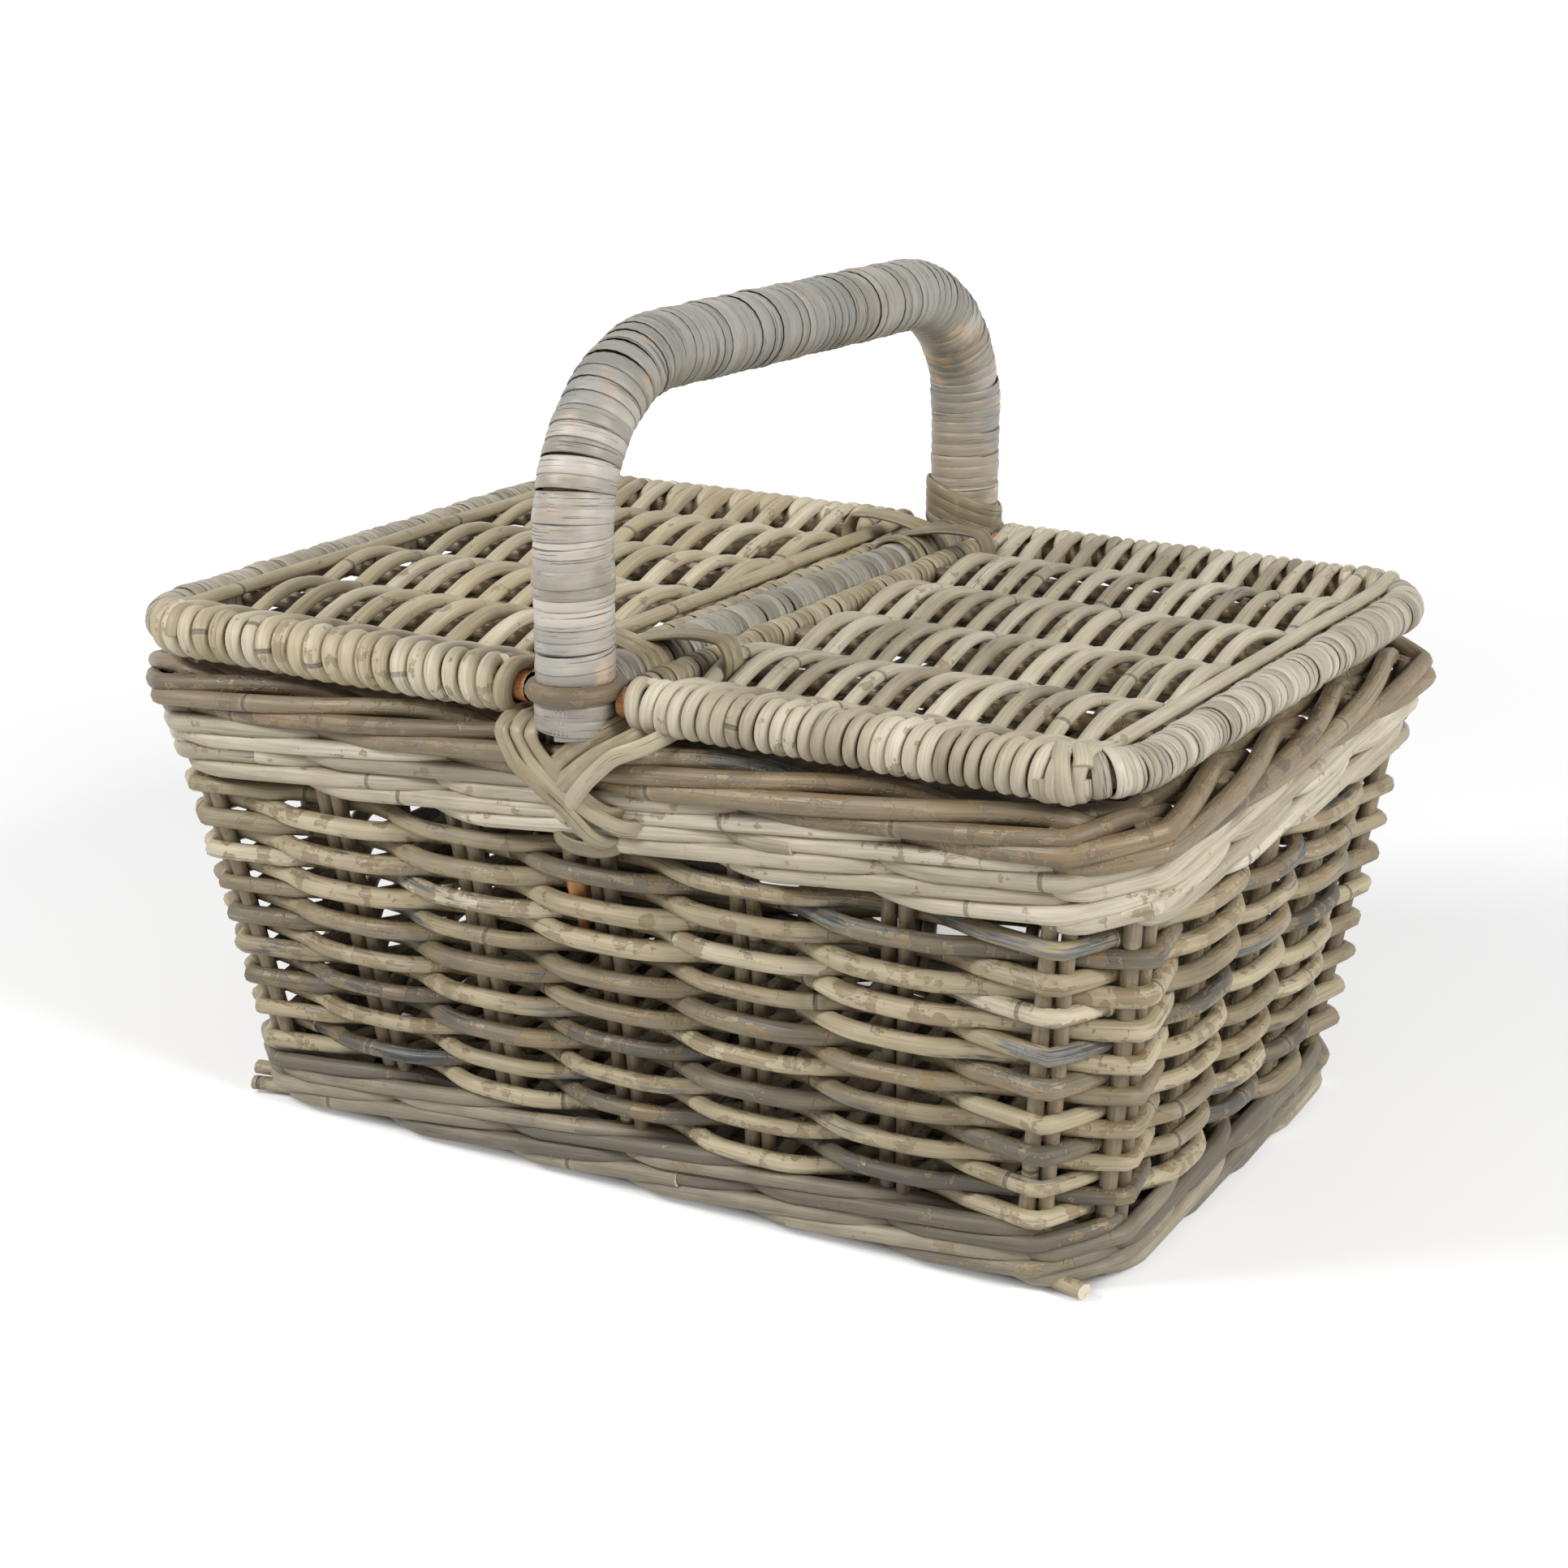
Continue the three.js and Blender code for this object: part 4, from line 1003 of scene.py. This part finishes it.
collars = Strands()
for facing_side in (-1, 1):
    t = turn_round(1.12, 70)
    rise = COLLAR_FOOT + 5.5 * MM + (t - math.pi) * 0.35 * MM
    y = facing_side * (LEG_Y - COLLAR_RING_R * np.cos(t))
    points = np.stack([-COLLAR_RING_R * np.sin(t), y, rise], -1)
    collars.add(points, COLLAR_ROD_R, points - np.array([0, facing_side * LEG_Y, COLLAR_FOOT]), 0.4)
collars.make("leg_collars", "basket", brown_finish, sides=12,
             nodes=["collar_front", "collar_back"])

# %% Crossed lashings under each leg
LASH_HALF = 3.8 * MM
LASH_FLAT = 0.3
LASH_RAISE = 4 * MM
LASH_CLEAR = 12.2 * MM
LASH_INSIDE = np.array([(0, -19, -24), (0, -18.6, -16), (0, -15.5, -8), (0, -8, -1.5)]) * MM
LASH_STRIPS = [
    [(26, 217), (20, 212), (5, 202.8), (-5, 193.6), (-13, 186)],
    [(-16.5, 214), (-15, 203), (-3.5, 190.6), (9.2, 178.4), (16, 175), (22, 175)],
    [(36, 215), (31, 210.4), (15, 201), (-3.5, 186), (-12, 178)],
    [(-22, 213.5), (-22.5, 204), (-11, 189.8), (-1.8, 180.6), (8.3, 175), (20, 171.5), (29, 170)],
    [(46, 214), (39.5, 209), (25, 203), (8.3, 187.5), (-1.8, 176.8), (-11, 167.7)],
    [(-28, 214), (-29, 205), (-17.8, 190.6), (-2.6, 175), (8.3, 164.6), (15, 161)],
]
LASH_TIE = [(-18, 163.5), (-12, 160), (-3, 157.8), (7, 158), (15, 160), (21, 164.5)]
TIE_HALF = 3.4 * MM
TIE_CLEAR = 12.6 * MM
WALL_STRAIGHT_TO = 200 * MM
OVER_RIM_FROM = 209 * MM
BORDER_FROM = 180 * MM
BACK_TURNS = 4
lashings = Strands()
for facing_side in (-1, 1):
    for layer, stations in enumerate(LASH_STRIPS):
        x, z = (rounded_path(stations, 34) * MM + np.array([0, LASH_RAISE])).T
        t = np.linspace(0, 1, len(z))
        over = ramp(z, OVER_RIM_FROM, 8 * MM) ** 2 * 16 * MM
        under = ramp(t, 0.88, 0.12) ** 2 * 7 * MM
        crown = (0.4 + 0.75 * layer) * MM * np.clip(t / 0.3, 0.4, 1)
        border_swell = ramp(z, BORDER_FROM, 16 * MM) * 4.4 * MM
        wall = at_height(OUT_Y, np.minimum(z, WALL_STRAIGHT_TO)) + LASH_CLEAR
        y = wall + border_swell + crown - over - under
        points = np.stack([-facing_side * x, facing_side * y, z], -1)
        points = np.vstack([points[0] + LASH_INSIDE * np.array([1, facing_side, 1]), points])
        gauge = LASH_HALF * dice.uniform(0.92, 1.08)
        lashings.add(points, gauge, (0, facing_side, -0.15), dice.uniform(0.4, 0.95))
    x, z = (rounded_path(LASH_TIE, 34) * MM + np.array([0, LASH_RAISE])).T
    tuck = np.linspace(-1, 1, len(z)) ** 4 * 11 * MM
    y = at_height(OUT_Y, z) + TIE_CLEAR - tuck
    points = np.stack([-facing_side * x, facing_side * y, z], -1)
    lashings.add(points, TIE_HALF, (0, facing_side, -0.15), 0.3)
for step in range(BACK_TURNS):
    t = turn_round(1.1, 60)
    around = np.stack([np.sin(t), np.cos(t), 0 * t], -1)
    rise = (229 + 5.2 * step - 7 * np.sin(t + 0.5)) * MM
    points = np.array([0, LEG_Y, 0]) + around * (CORE_R + 4.3 * MM) + np.outer(rise, [0, 0, 1])
    lashings.add(points, LASH_HALF * 0.9, around, dice.uniform(0.0, 0.4), cut=False)
lashings.make("rim_lashings", "basket", olive_finish, sides=10, flatness=LASH_FLAT,
              nodes=["lashing_front", "lashing_back"])

# %% [markdown]
# ## The crossbar and its loops
# A shorter wound rod joins the legs at the height of the lids. Loose loops of peel go round it and round
# the inner rod of a lid: they are the hinges, and they belong to the basket and not to a lid.

# %% Crossbar
CROSSBAR_CORE_R = (high("crossbar_core") - low("crossbar_core"))[2] / 2
CROSSBAR_PAD = 1.3 * MM
CROSSBAR_PITCH = 5.4 * MM
CROSSBAR_STRIP = 3.1 * MM
CROSSBAR_FLAT = 0.4
CROSSBAR_INSET = 3 * MM
END_WRAP = 30 * MM
END_STRIP = 3.2 * MM
crossbar = StraightRod(0.0, LID_MID, high("crossbar_core")[1])
crossbar_rod = Strands()
add_rod(crossbar_rod, crossbar, 0, crossbar.length, CROSSBAR_CORE_R, 0.4)
crossbar_rod.make("crossbar_rod", "basket", brown_finish, sides=16, nodes=["crossbar_core"])
crossbar_peel = Strands()
add_winding(crossbar_peel, crossbar, CROSSBAR_INSET, crossbar.length - CROSSBAR_INSET, CROSSBAR_PITCH,
            CROSSBAR_CORE_R + CROSSBAR_PAD, CROSSBAR_STRIP, CROSSBAR_FLAT, (0.1, 0.75), lengths=5)
for start in (0, crossbar.length - END_WRAP):
    add_winding(crossbar_peel, crossbar, start, start + END_WRAP, CROSSBAR_PITCH,
                CROSSBAR_R, END_STRIP, CROSSBAR_FLAT, (0.0, 0.4), lengths=1)
crossbar_peel.make("crossbar_peel", "basket", crossbar_finish, sides=10, flatness=CROSSBAR_FLAT,
                   nodes=["crossbar_wrap"])

# %% Hinge loops
LOOP_FLAT = 0.42
LOOP_STRIP = 3.3 * MM
LOOP_INSET = 1.2 * MM
TURN_STRIP = 2.8 * MM
hinge_loops = Strands()
LOOP_NODES = [f"{side}_lid_hinge_loop_{end}" for side in ("left", "right") for end in ("front", "back")]
for node in LOOP_NODES:
    near, far = low(node), high(node)
    side = -1 if node.startswith("left") else 1
    reach = max(abs(near[0]), abs(far[0]))
    loop_r = min(abs(near[0]), abs(far[0])) - 0.2 * MM
    far_spot = np.array([reach - loop_r - LOOP_INSET, far[2] - loop_r - LOOP_INSET])
    near_spot = np.array([0.0, LID_MID])
    for strip in (-1, 0, 1):
        t = turn_round(1, 72)
        toward = (1 - np.cos(t)) / 2
        slide = np.clip((toward - 0.5) * 1.6 + 0.5, 0, 1)[:, None]
        spot = near_spot + (far_spot - near_spot) * slide
        ring = spot + loop_r * np.stack([-np.cos(t), np.sin(t)], -1)
        y = (near[1] + far[1]) / 2 + strip * (5.4 - 2.2 * toward) * MM + np.sin(t) * 0.8 * MM
        points = np.stack([side * ring[:, 0], y, ring[:, 1]], -1)
        facing = np.stack([-side * np.cos(t), 0 * t, np.sin(t)], -1)
        hinge_loops.add(points, LOOP_STRIP, facing, dice.uniform(0.1, 0.6))
    for strip in range(2):
        t = turn_round(1.08, 50)
        around = np.stack([np.sin(t), 0 * t, np.cos(t)], -1)
        y = near[1] - math.copysign((7.5 + 4.6 * strip) * MM, near[1]) + 0.6 * MM * np.sin(t + strip)
        points = around * loop_r + np.stack([0 * t, y, 0 * t + LID_MID], -1)
        hinge_loops.add(points, TURN_STRIP, around, dice.uniform(0.1, 0.6), cut=False)
hinge_loops.make("hinge_loops", "basket", olive_finish, sides=10, flatness=LOOP_FLAT,
                 nodes=LOOP_NODES)

# %% [markdown]
# ## The lids
# Each lid is a bent rod with ribs across it. One weaver goes back and forth over and under the ribs, and at
# the front and back rods it takes one and a half turns before it comes back, which makes the row of
# loops along the edge. The left lid has thick strands and the right lid finer ones.

# %% Lid frames
LID_BEND = 30 * MM
CAD_ROD_SIDES = 10
RIB_COUNT = 4
RIB_R = (high("left_lid_rib_1") - low("left_lid_rib_1"))[2] / 2


class LidFrame:
    """The bent rod round a lid and the places of its ribs, taken from the solids."""

    def __init__(self, name, side):
        frame_low, frame_high = low(f"{name}_frame"), high(f"{name}_frame")
        start, reach = np.sort(np.abs([frame_low[0], frame_high[0]]))
        self.radius = (frame_high[2] - frame_low[2]) / 2 / math.cos(math.pi / CAD_ROD_SIDES)
        self.end = reach - self.radius
        self.y = frame_high[1] - self.radius
        self.ribs = [middle(f"{name}_rib_{i + 1}")[1] for i in range(RIB_COUNT)]
        self.panel = np.sort(np.abs([low(f"{name}_rib_1")[0], high(f"{name}_rib_1")[0]]))
        self.rod = BentRod(
            2 * self.y, self.end - start, LID_BEND, (side * start, 0, LID_MID), (0, 1, 0), (side, 0, 0))

    def y_at(self, x):
        """Where the frame rod runs at a distance from the middle, past the start of its bend too."""
        past = np.clip(x - (self.end - LID_BEND), 0, LID_BEND)
        return self.y - LID_BEND + np.sqrt(LID_BEND ** 2 - past ** 2)


print("ribs of a lid", RIB_COUNT)

# %% Weaving a lid
AXIS_X = np.array([1.0, 0, 0])
LOOP_STEPS = 44
FLOAT_STEPS = 30
FLOAT_EASE = {1: 14 * MM, -1: 44 * MM}
HALFWAY_OUT = 100 * MM


def smooth_between(stops, values, fine):
    """Values at the stops joined by level-ended curves."""
    place = np.clip(np.searchsorted(stops, fine, side="right") - 1, 0, len(stops) - 2)
    share = (fine - stops[place]) / (stops[place + 1] - stops[place])
    ease = 0.5 - 0.5 * np.cos(math.pi * np.clip(share, 0, 1))
    return values[place] + (values[place + 1] - values[place]) * ease


def weave_lid(strands, side, lid, first, last, pairs, half_width, thin, tints, edge_slim):
    """Passes to the front and back again over and under the ribs, with loops round the rods at the edges."""
    pitch = (last - first) / (2 * pairs)
    over_rib = RIB_R + half_width * thin + 1.3 * MM
    over_rod = lid.radius + half_width * thin
    angle = np.radians(np.linspace(270, -270, LOOP_STEPS)[1:-1])
    for pair in range(pairs):
        x = first + (2 * pair + 0.5) * pitch + dice.uniform(-0.7, 0.7) * MM
        sway = dice.uniform(-1.0, 1.0, 2) * MM
        parts = []
        for turn, way in ((0, 1), (1, -1)):
            centre = x + turn * pitch
            edge = lid.y_at(centre)
            stops = np.array([-edge, *lid.ribs, edge])
            levels = np.array([-over_rod, over_rib, -over_rib, over_rib, -over_rib, over_rod]) * way
            fine = np.linspace(-edge, edge, 84)
            z = smooth_between(stops, levels, fine)
            drift = np.interp(fine, [-edge, edge], [-way * pitch / 4, way * pitch / 4])
            bow = wander(fine * 40, 1.1 * MM)
            run = np.stack([centre + drift + bow + sway[turn], fine, z], -1)
            parts.append(run[::-way])
            helix = np.linspace(x + (turn - 0.25) * pitch, x + (turn + 1.25) * pitch, LOOP_STEPS)[1:-1]
            loop_y = -way * (edge - over_rod * np.cos(angle))
            parts.append(np.stack([helix, loop_y, over_rod * np.sin(angle)], -1))
        points = np.vstack(parts)
        points = np.stack([side * points[:, 0], points[:, 1], LID_MID + points[:, 2]], -1)
        facing = np.cross(unit(np.gradient(points, axis=0)), AXIS_X)
        at_edge = np.clip((np.abs(points[:, 1]) - lid.y + 2 * over_rod) / over_rod, 0, 1)
        tint = dice.uniform(*tints) + wander(np.linspace(0, 40, len(points)), 0.16) + 0.08 * at_edge
        gauge = half_width * dice.uniform(0.86, 1.1) * (1 - edge_slim * at_edge)
        gauge = gauge * (1 + wander(np.linspace(0, 60, len(points)), 0.07))
        strands.add(points, gauge, facing, np.clip(tint, 0, 1))


def add_float(strands, side, lid, x, half_width, thin, level):
    """A long strand above (1) or below (-1) every rib, which takes a turn round the rod at each end."""
    edge = lid.y_at(x)
    around = lid.radius + half_width * thin
    over = level * (RIB_R + half_width * thin)
    turn = np.radians(np.linspace(450, 90, FLOAT_STEPS))
    lean_off = np.linspace(1, 0, FLOAT_STEPS)
    back = np.stack([lean_off, edge - around * np.cos(turn), around * np.sin(turn)], -1)
    lean_on, turn = np.linspace(0, 1, FLOAT_STEPS), turn[::-1]
    front = np.stack([lean_on, -edge + around * np.cos(turn), around * np.sin(turn)], -1)
    y = np.linspace(edge, -edge, 60)[1:-1]
    ease = FLOAT_EASE[level]
    sag = over + (around - over) * np.clip((np.abs(y) - edge + ease) / ease, 0, 1)
    top = np.stack([0 * y, y, sag + wander(y * 40, 0.4 * MM)], -1)
    points = np.vstack([back, top, front])
    lean = points[:, 0] * half_width * 1.6 * (-1 if x > HALFWAY_OUT else 1)
    points = np.stack([side * (x + lean), points[:, 1], LID_MID + points[:, 2]], -1)
    facing = np.cross(unit(np.gradient(points, axis=0)), AXIS_X)
    strands.add(points, half_width * 0.96, facing, dice.uniform(0.45, 0.75))


print("a loop at a lid's edge has", LOOP_STEPS, "points")

# %% [markdown]
# ## Putting the lids together
# A lid has three layers of pieces. The frame rod and the paired ribs come first, then the strands that are
# woven over them, and then the wound ends and the wound inner rod that the hinge loops hold.

# %% Both lids
BARE_END = 4 * MM
END_PITCH = 5.8 * MM
END_PEEL_STRIP = 3.6 * MM
END_PEEL_FLAT = 0.3
INNER_PITCH = 4.6 * MM
INNER_STRIP = 2.4 * MM
INNER_FLAT = 0.4
INNER_CORE_R = INNER_ROD_R - 1.4 * MM
CORNER_SHARE = 0.3


def make_lid_rods(name, side, lid, rod_inset):
    rod = lid.rod
    rods = Strands()
    add_rod(rods, rod, rod_inset, rod.length - rod_inset, lid.radius, 0.55, 110)
    bare_ends = Strands()
    for near in (rod_inset, rod.length - rod_inset - BARE_END):
        add_rod(bare_ends, rod, near, near + BARE_END, lid.radius * 1.02, 0.7, 6)
    bare_ends.make(f"{name}_rod_ends", name, core_finish, sides=12)
    x = np.linspace(lid.panel[0], lid.panel[1] + 3 * MM, 24)
    for rib in lid.ribs:
        for twin in (-1, 1):
            y = rib + twin * RIB_R + wander(x * 40, 0.4 * MM)
            points = np.stack([side * x, y, np.full_like(x, LID_MID)], -1)
            rods.add(points, RIB_R * dice.uniform(0.9, 1.02), (0, 0, 1), dice.uniform(0.2, 0.8))
    rods.make(f"{name}_rods", name, brown_finish, sides=12,
              nodes=[f"{name}_frame"] + [f"{name}_rib_{i + 1}" for i in range(RIB_COUNT)])


def make_lid_strands(name, side, lid, finish, pairs, half_width, thin, tints, edge_slim, start, inner_level):
    rod = lid.rod
    strands = Strands()
    first, last = start + 2.3 * half_width, lid.panel[1] - 2.6 * half_width
    weave_lid(strands, side, lid, first, last, pairs, half_width, thin, tints, edge_slim)
    for x, level in ((start + half_width, inner_level), (lid.panel[1] - half_width, 1)):
        add_float(strands, side, lid, x, half_width, thin, level)
    corner = rod.leg + rod.arc * CORNER_SHARE
    for ends in ((rod.leg + 2 * MM, corner), (rod.length - corner, rod.length - rod.leg - 2 * MM)):
        add_winding(strands, rod, *ends, 1.75 * half_width, lid.radius, half_width, thin,
                    (0.4, 0.8), lengths=1)
    strands.make(f"{name}_strands", name, finish, sides=10, flatness=thin,
                 nodes=[f"{name}_weave"])


def make_lid_windings(name, side, lid):
    rod = lid.rod
    corner = rod.leg + rod.arc * CORNER_SHARE
    end_peel = Strands()
    add_winding(end_peel, rod, corner, rod.length - corner, END_PITCH, lid.radius + 1 * MM,
                END_PEEL_STRIP, END_PEEL_FLAT, (0.35, 0.8), lengths=5, shingle=0.12)
    end_peel.make(f"{name}_end_peel", name, straw_finish, sides=10, flatness=END_PEEL_FLAT,
                  nodes=[f"{name}_end_wrap"])
    inner = StraightRod(side * INNER_ROD_X, LID_MID, high(f"{name}_inner_rod")[1])
    inner_rods = Strands()
    add_rod(inner_rods, inner, 0, inner.length, INNER_CORE_R, 0.5)
    add_winding(inner_rods, inner, 1 * MM, inner.length - 1 * MM, INNER_PITCH, INNER_CORE_R,
                INNER_STRIP, 1.0, (0.3, 0.85), lengths=4)
    inner_rods.make(f"{name}_inner_wound_rod", name, olive_finish, sides=8, flatness=INNER_FLAT,
                    nodes=[f"{name}_inner_rod"])


def make_lid(name, side, rod_inset, **weaving):
    lid = LidFrame(name, side)
    make_lid_rods(name, side, lid, rod_inset)
    make_lid_strands(name, side, lid, start=lid.panel[0] + rod_inset / 2, **weaving)
    make_lid_windings(name, side, lid)


make_lid("left_lid", -1, 6 * MM, finish=thick_finish, pairs=10, half_width=4.4 * MM, thin=0.68,
         tints=(0.5, 1.0), edge_slim=0.06, inner_level=1)
make_lid("right_lid", 1, 0.5 * MM, finish=lid_finish, pairs=14, half_width=3.6 * MM, thin=0.76,
         tints=(0.2, 0.8), edge_slim=0.17, inner_level=-1)

# %% [markdown]
# ## The base
# The base is a flat mat of the same weave: paired sticks from end to end, with strands across them. A few
# strands of the foot end in stubs that stand out at the corners.

# %% Base mat
BASE_MID = 10 * MM
STICK_COUNT = 4
STICK_R = 2.8 * MM
STICK_APART = 2.9 * MM
BASE_WEAVER_R = 3.9 * MM
BASE_PITCH = 7.5 * MM
BASE_SWING = 5.6 * MM
STUB_R = 4.0 * MM
base = Strands()
base_half = high("base_mat")
stick_places = np.linspace(-0.75, 0.75, STICK_COUNT) * base_half[1]
for place in stick_places:
    for twin in (-1, 1):
        x = np.linspace(-base_half[0] - 6 * MM, base_half[0] + 6 * MM, 40)
        points = np.stack([x, place + twin * STICK_APART + 0 * x, BASE_MID + 0 * x], -1)
        base.add(points, STICK_R, (0, 0, 1), dice.uniform(0.2, 0.8))
count = int(2 * base_half[0] / BASE_PITCH)
y = np.linspace(-base_half[1] - 8 * MM, base_half[1] + 8 * MM, 70)
stops = np.array([-base_half[1] - 9 * MM, *stick_places, base_half[1] + 9 * MM])
for number, x in enumerate(np.linspace(-base_half[0], base_half[0], count)):
    levels = np.array([-1, 1, -1, 1, -1, 1]) * BASE_SWING * (1 if number % 2 else -1)
    z = smooth_between(stops, levels, y)
    points = np.stack([x + wander(y * 40, 0.5 * MM), y, BASE_MID + z], -1)
    base.add(points, BASE_WEAVER_R * dice.uniform(0.93, 1.05), (0, 0, 1), strand_tint())
for side_x in (-1, 1):
    for side_y in (-1, 1):
        for step in range(2 if side_x < 0 else 1):
            past = np.array([
                [-35, 10.5 - 8 * step], [1, 13.5 - 8 * step], [16 + 5 * step, 17.5 - 9 * step]]) * MM
            reach = (base_half[:2] + past) * np.array([side_x, side_y])
            plan = np.column_stack([reach, np.full(3, (4.4 + 3.4 * step) * MM)])
            stub = np.array([plan[0] + (plan[1] - plan[0]) * s for s in np.linspace(0, 1, 6)] + [plan[2]])
            base.add(stub, STUB_R, (0, 0, 1), dice.uniform(0.4, 0.8))
base.make("base_weave", "basket", weaver_finish, sides=8, flatness=0.8, nodes=["base_mat"])

# %% [markdown]
# ## Camera, floor and light
# The camera stands where the photograph was taken from, worked out from the corners of the lids and the
# foot. The light is soft and even, as in a white studio: pale surroundings and two broad lamps, one on the
# left and one on the right. The rays that make the picture see the surroundings as plain white, while the
# rays that gather light find them dimmer, so that the basket keeps its shadows. Right under the foot the
# floor gets no white glow, which is a painted shadow under the basket.

# %% Camera
CAMERA_PLACE = Vector((654.6, -1118.7, 546.8)) * MM
CAMERA_YAW = math.radians(30.44)
CAMERA_PITCH = math.radians(17.23)
CAMERA_LENS = 70.4
CAMERA_SENSOR = 36
level = math.cos(CAMERA_PITCH)
ahead = Vector((-math.sin(CAMERA_YAW) * level, math.cos(CAMERA_YAW) * level, -math.sin(CAMERA_PITCH)))
camera = bpy.data.objects.new("camera", bpy.data.cameras.new("camera"))
camera.location = CAMERA_PLACE
camera.rotation_euler = ahead.to_track_quat("-Z", "Y").to_euler()
camera.data.lens = CAMERA_LENS
camera.data.sensor_width = CAMERA_SENSOR
bpy.context.scene.collection.objects.link(camera)
bpy.context.scene.camera = camera
print("camera", round(CAMERA_PLACE.length, 2), "m from the middle of the foot")

# %% Floor
CLEAR_RAYS = ("Is Camera Ray", "Is Glossy Ray", "Is Transmission Ray")
FLOOR_REACH = 40.0
FLOOR_GREY = (0.88, 0.88, 0.88, 1.0)
FLOOR_CORNERS = ((-1, -1), (1, -1), (1, 1), (-1, 1))
FOOT_X, FOOT_Y = high("foot_border")[:2] - 8 * MM
FOOT_SHADOW_EDGE = 15 * MM
NEAR_GLOW = 0.32
FAR_GLOW = 0.5
FAR_FROM, FAR_TO = 0.5, 2.2


def seen(paint):
    """1 for the rays that make the picture, 0 for those that gather light."""
    return sum(paint.node("ShaderNodeLightPath", output=ray) for ray in CLEAR_RAYS)


floor_mesh = bpy.data.meshes.new("floor")
corners = [(x * FLOOR_REACH, y * FLOOR_REACH, 0) for x, y in FLOOR_CORNERS]
floor_mesh.from_pydata(corners, [], [(0, 1, 2, 3)])
floor = bpy.data.objects.new("floor", floor_mesh)
bpy.context.scene.collection.objects.link(floor)
paint = Paint(bpy.data.materials.new("white floor"))
lit = paint.node("ShaderNodeBsdfDiffuse", links={"Color": FLOOR_GREY})
place = paint.node("ShaderNodeTexCoord", output="Object")
distance = paint.node("ShaderNodeVectorMath", {"operation": "LENGTH"}, {0: place}, output="Value")
floor_x = paint.node("ShaderNodeSeparateXYZ", links={"Vector": place}, output="X").abs()
floor_y = paint.node("ShaderNodeSeparateXYZ", links={"Vector": place}, output="Y").abs()
# Painted shadow: inside the basket's foot the floor gets no glow, so the floor stays darker under the basket.
beside = (floor_x - FOOT_X).between(-FOOT_SHADOW_EDGE, 0) + (floor_y - FOOT_Y).between(-FOOT_SHADOW_EDGE, 0)
shade = paint.grey(beside.between(0, 1) * NEAR_GLOW + distance.between(FAR_FROM, FAR_TO) * FAR_GLOW)
glow = paint.node("ShaderNodeEmission", links={"Strength": 1.0, "Color": shade})
dark = paint.node("ShaderNodeEmission", links={"Strength": 0.0})
extra = paint.node("ShaderNodeMixShader", links={0: seen(paint), 1: dark, 2: glow})
paint.show(paint.node("ShaderNodeAddShader", links={0: lit, 1: extra}))
floor_mesh.materials.append(paint.owner)
print("floor", 2 * FLOOR_REACH, "m wide")

# %% Lamps and surroundings
LAMP_SIZE = 0.8
LAMP_TARGET = Vector((0, 0, 0.15))
LAMPS = {"left lamp": ((-1.2, -1.5, 1.7), 35), "right lamp": ((2.0, -0.5, 1.4), 36)}
SKY_COLOUR = (1, 1, 1, 1)
SKY_LIGHT = 0.27
for name, (place, power) in LAMPS.items():
    lamp = bpy.data.objects.new(name, bpy.data.lights.new(name, "AREA"))
    lamp.data.energy = power
    lamp.data.size = LAMP_SIZE
    lamp.location = place
    lamp.rotation_euler = (LAMP_TARGET - Vector(place)).to_track_quat("-Z", "Y").to_euler()
    bpy.context.scene.collection.objects.link(lamp)
sky = Paint(bpy.data.worlds.new("studio"), "ShaderNodeOutputWorld")
soft = sky.node("ShaderNodeBackground", links={"Color": SKY_COLOUR, "Strength": SKY_LIGHT})
white = sky.node("ShaderNodeBackground", links={"Color": SKY_COLOUR, "Strength": 1.0})
sky.show(sky.node("ShaderNodeMixShader", links={0: seen(sky), 1: soft, 2: white}))
bpy.context.scene.world = sky.owner
bpy.context.scene.view_settings.view_transform = "Standard"
print("lamps", list(LAMPS))
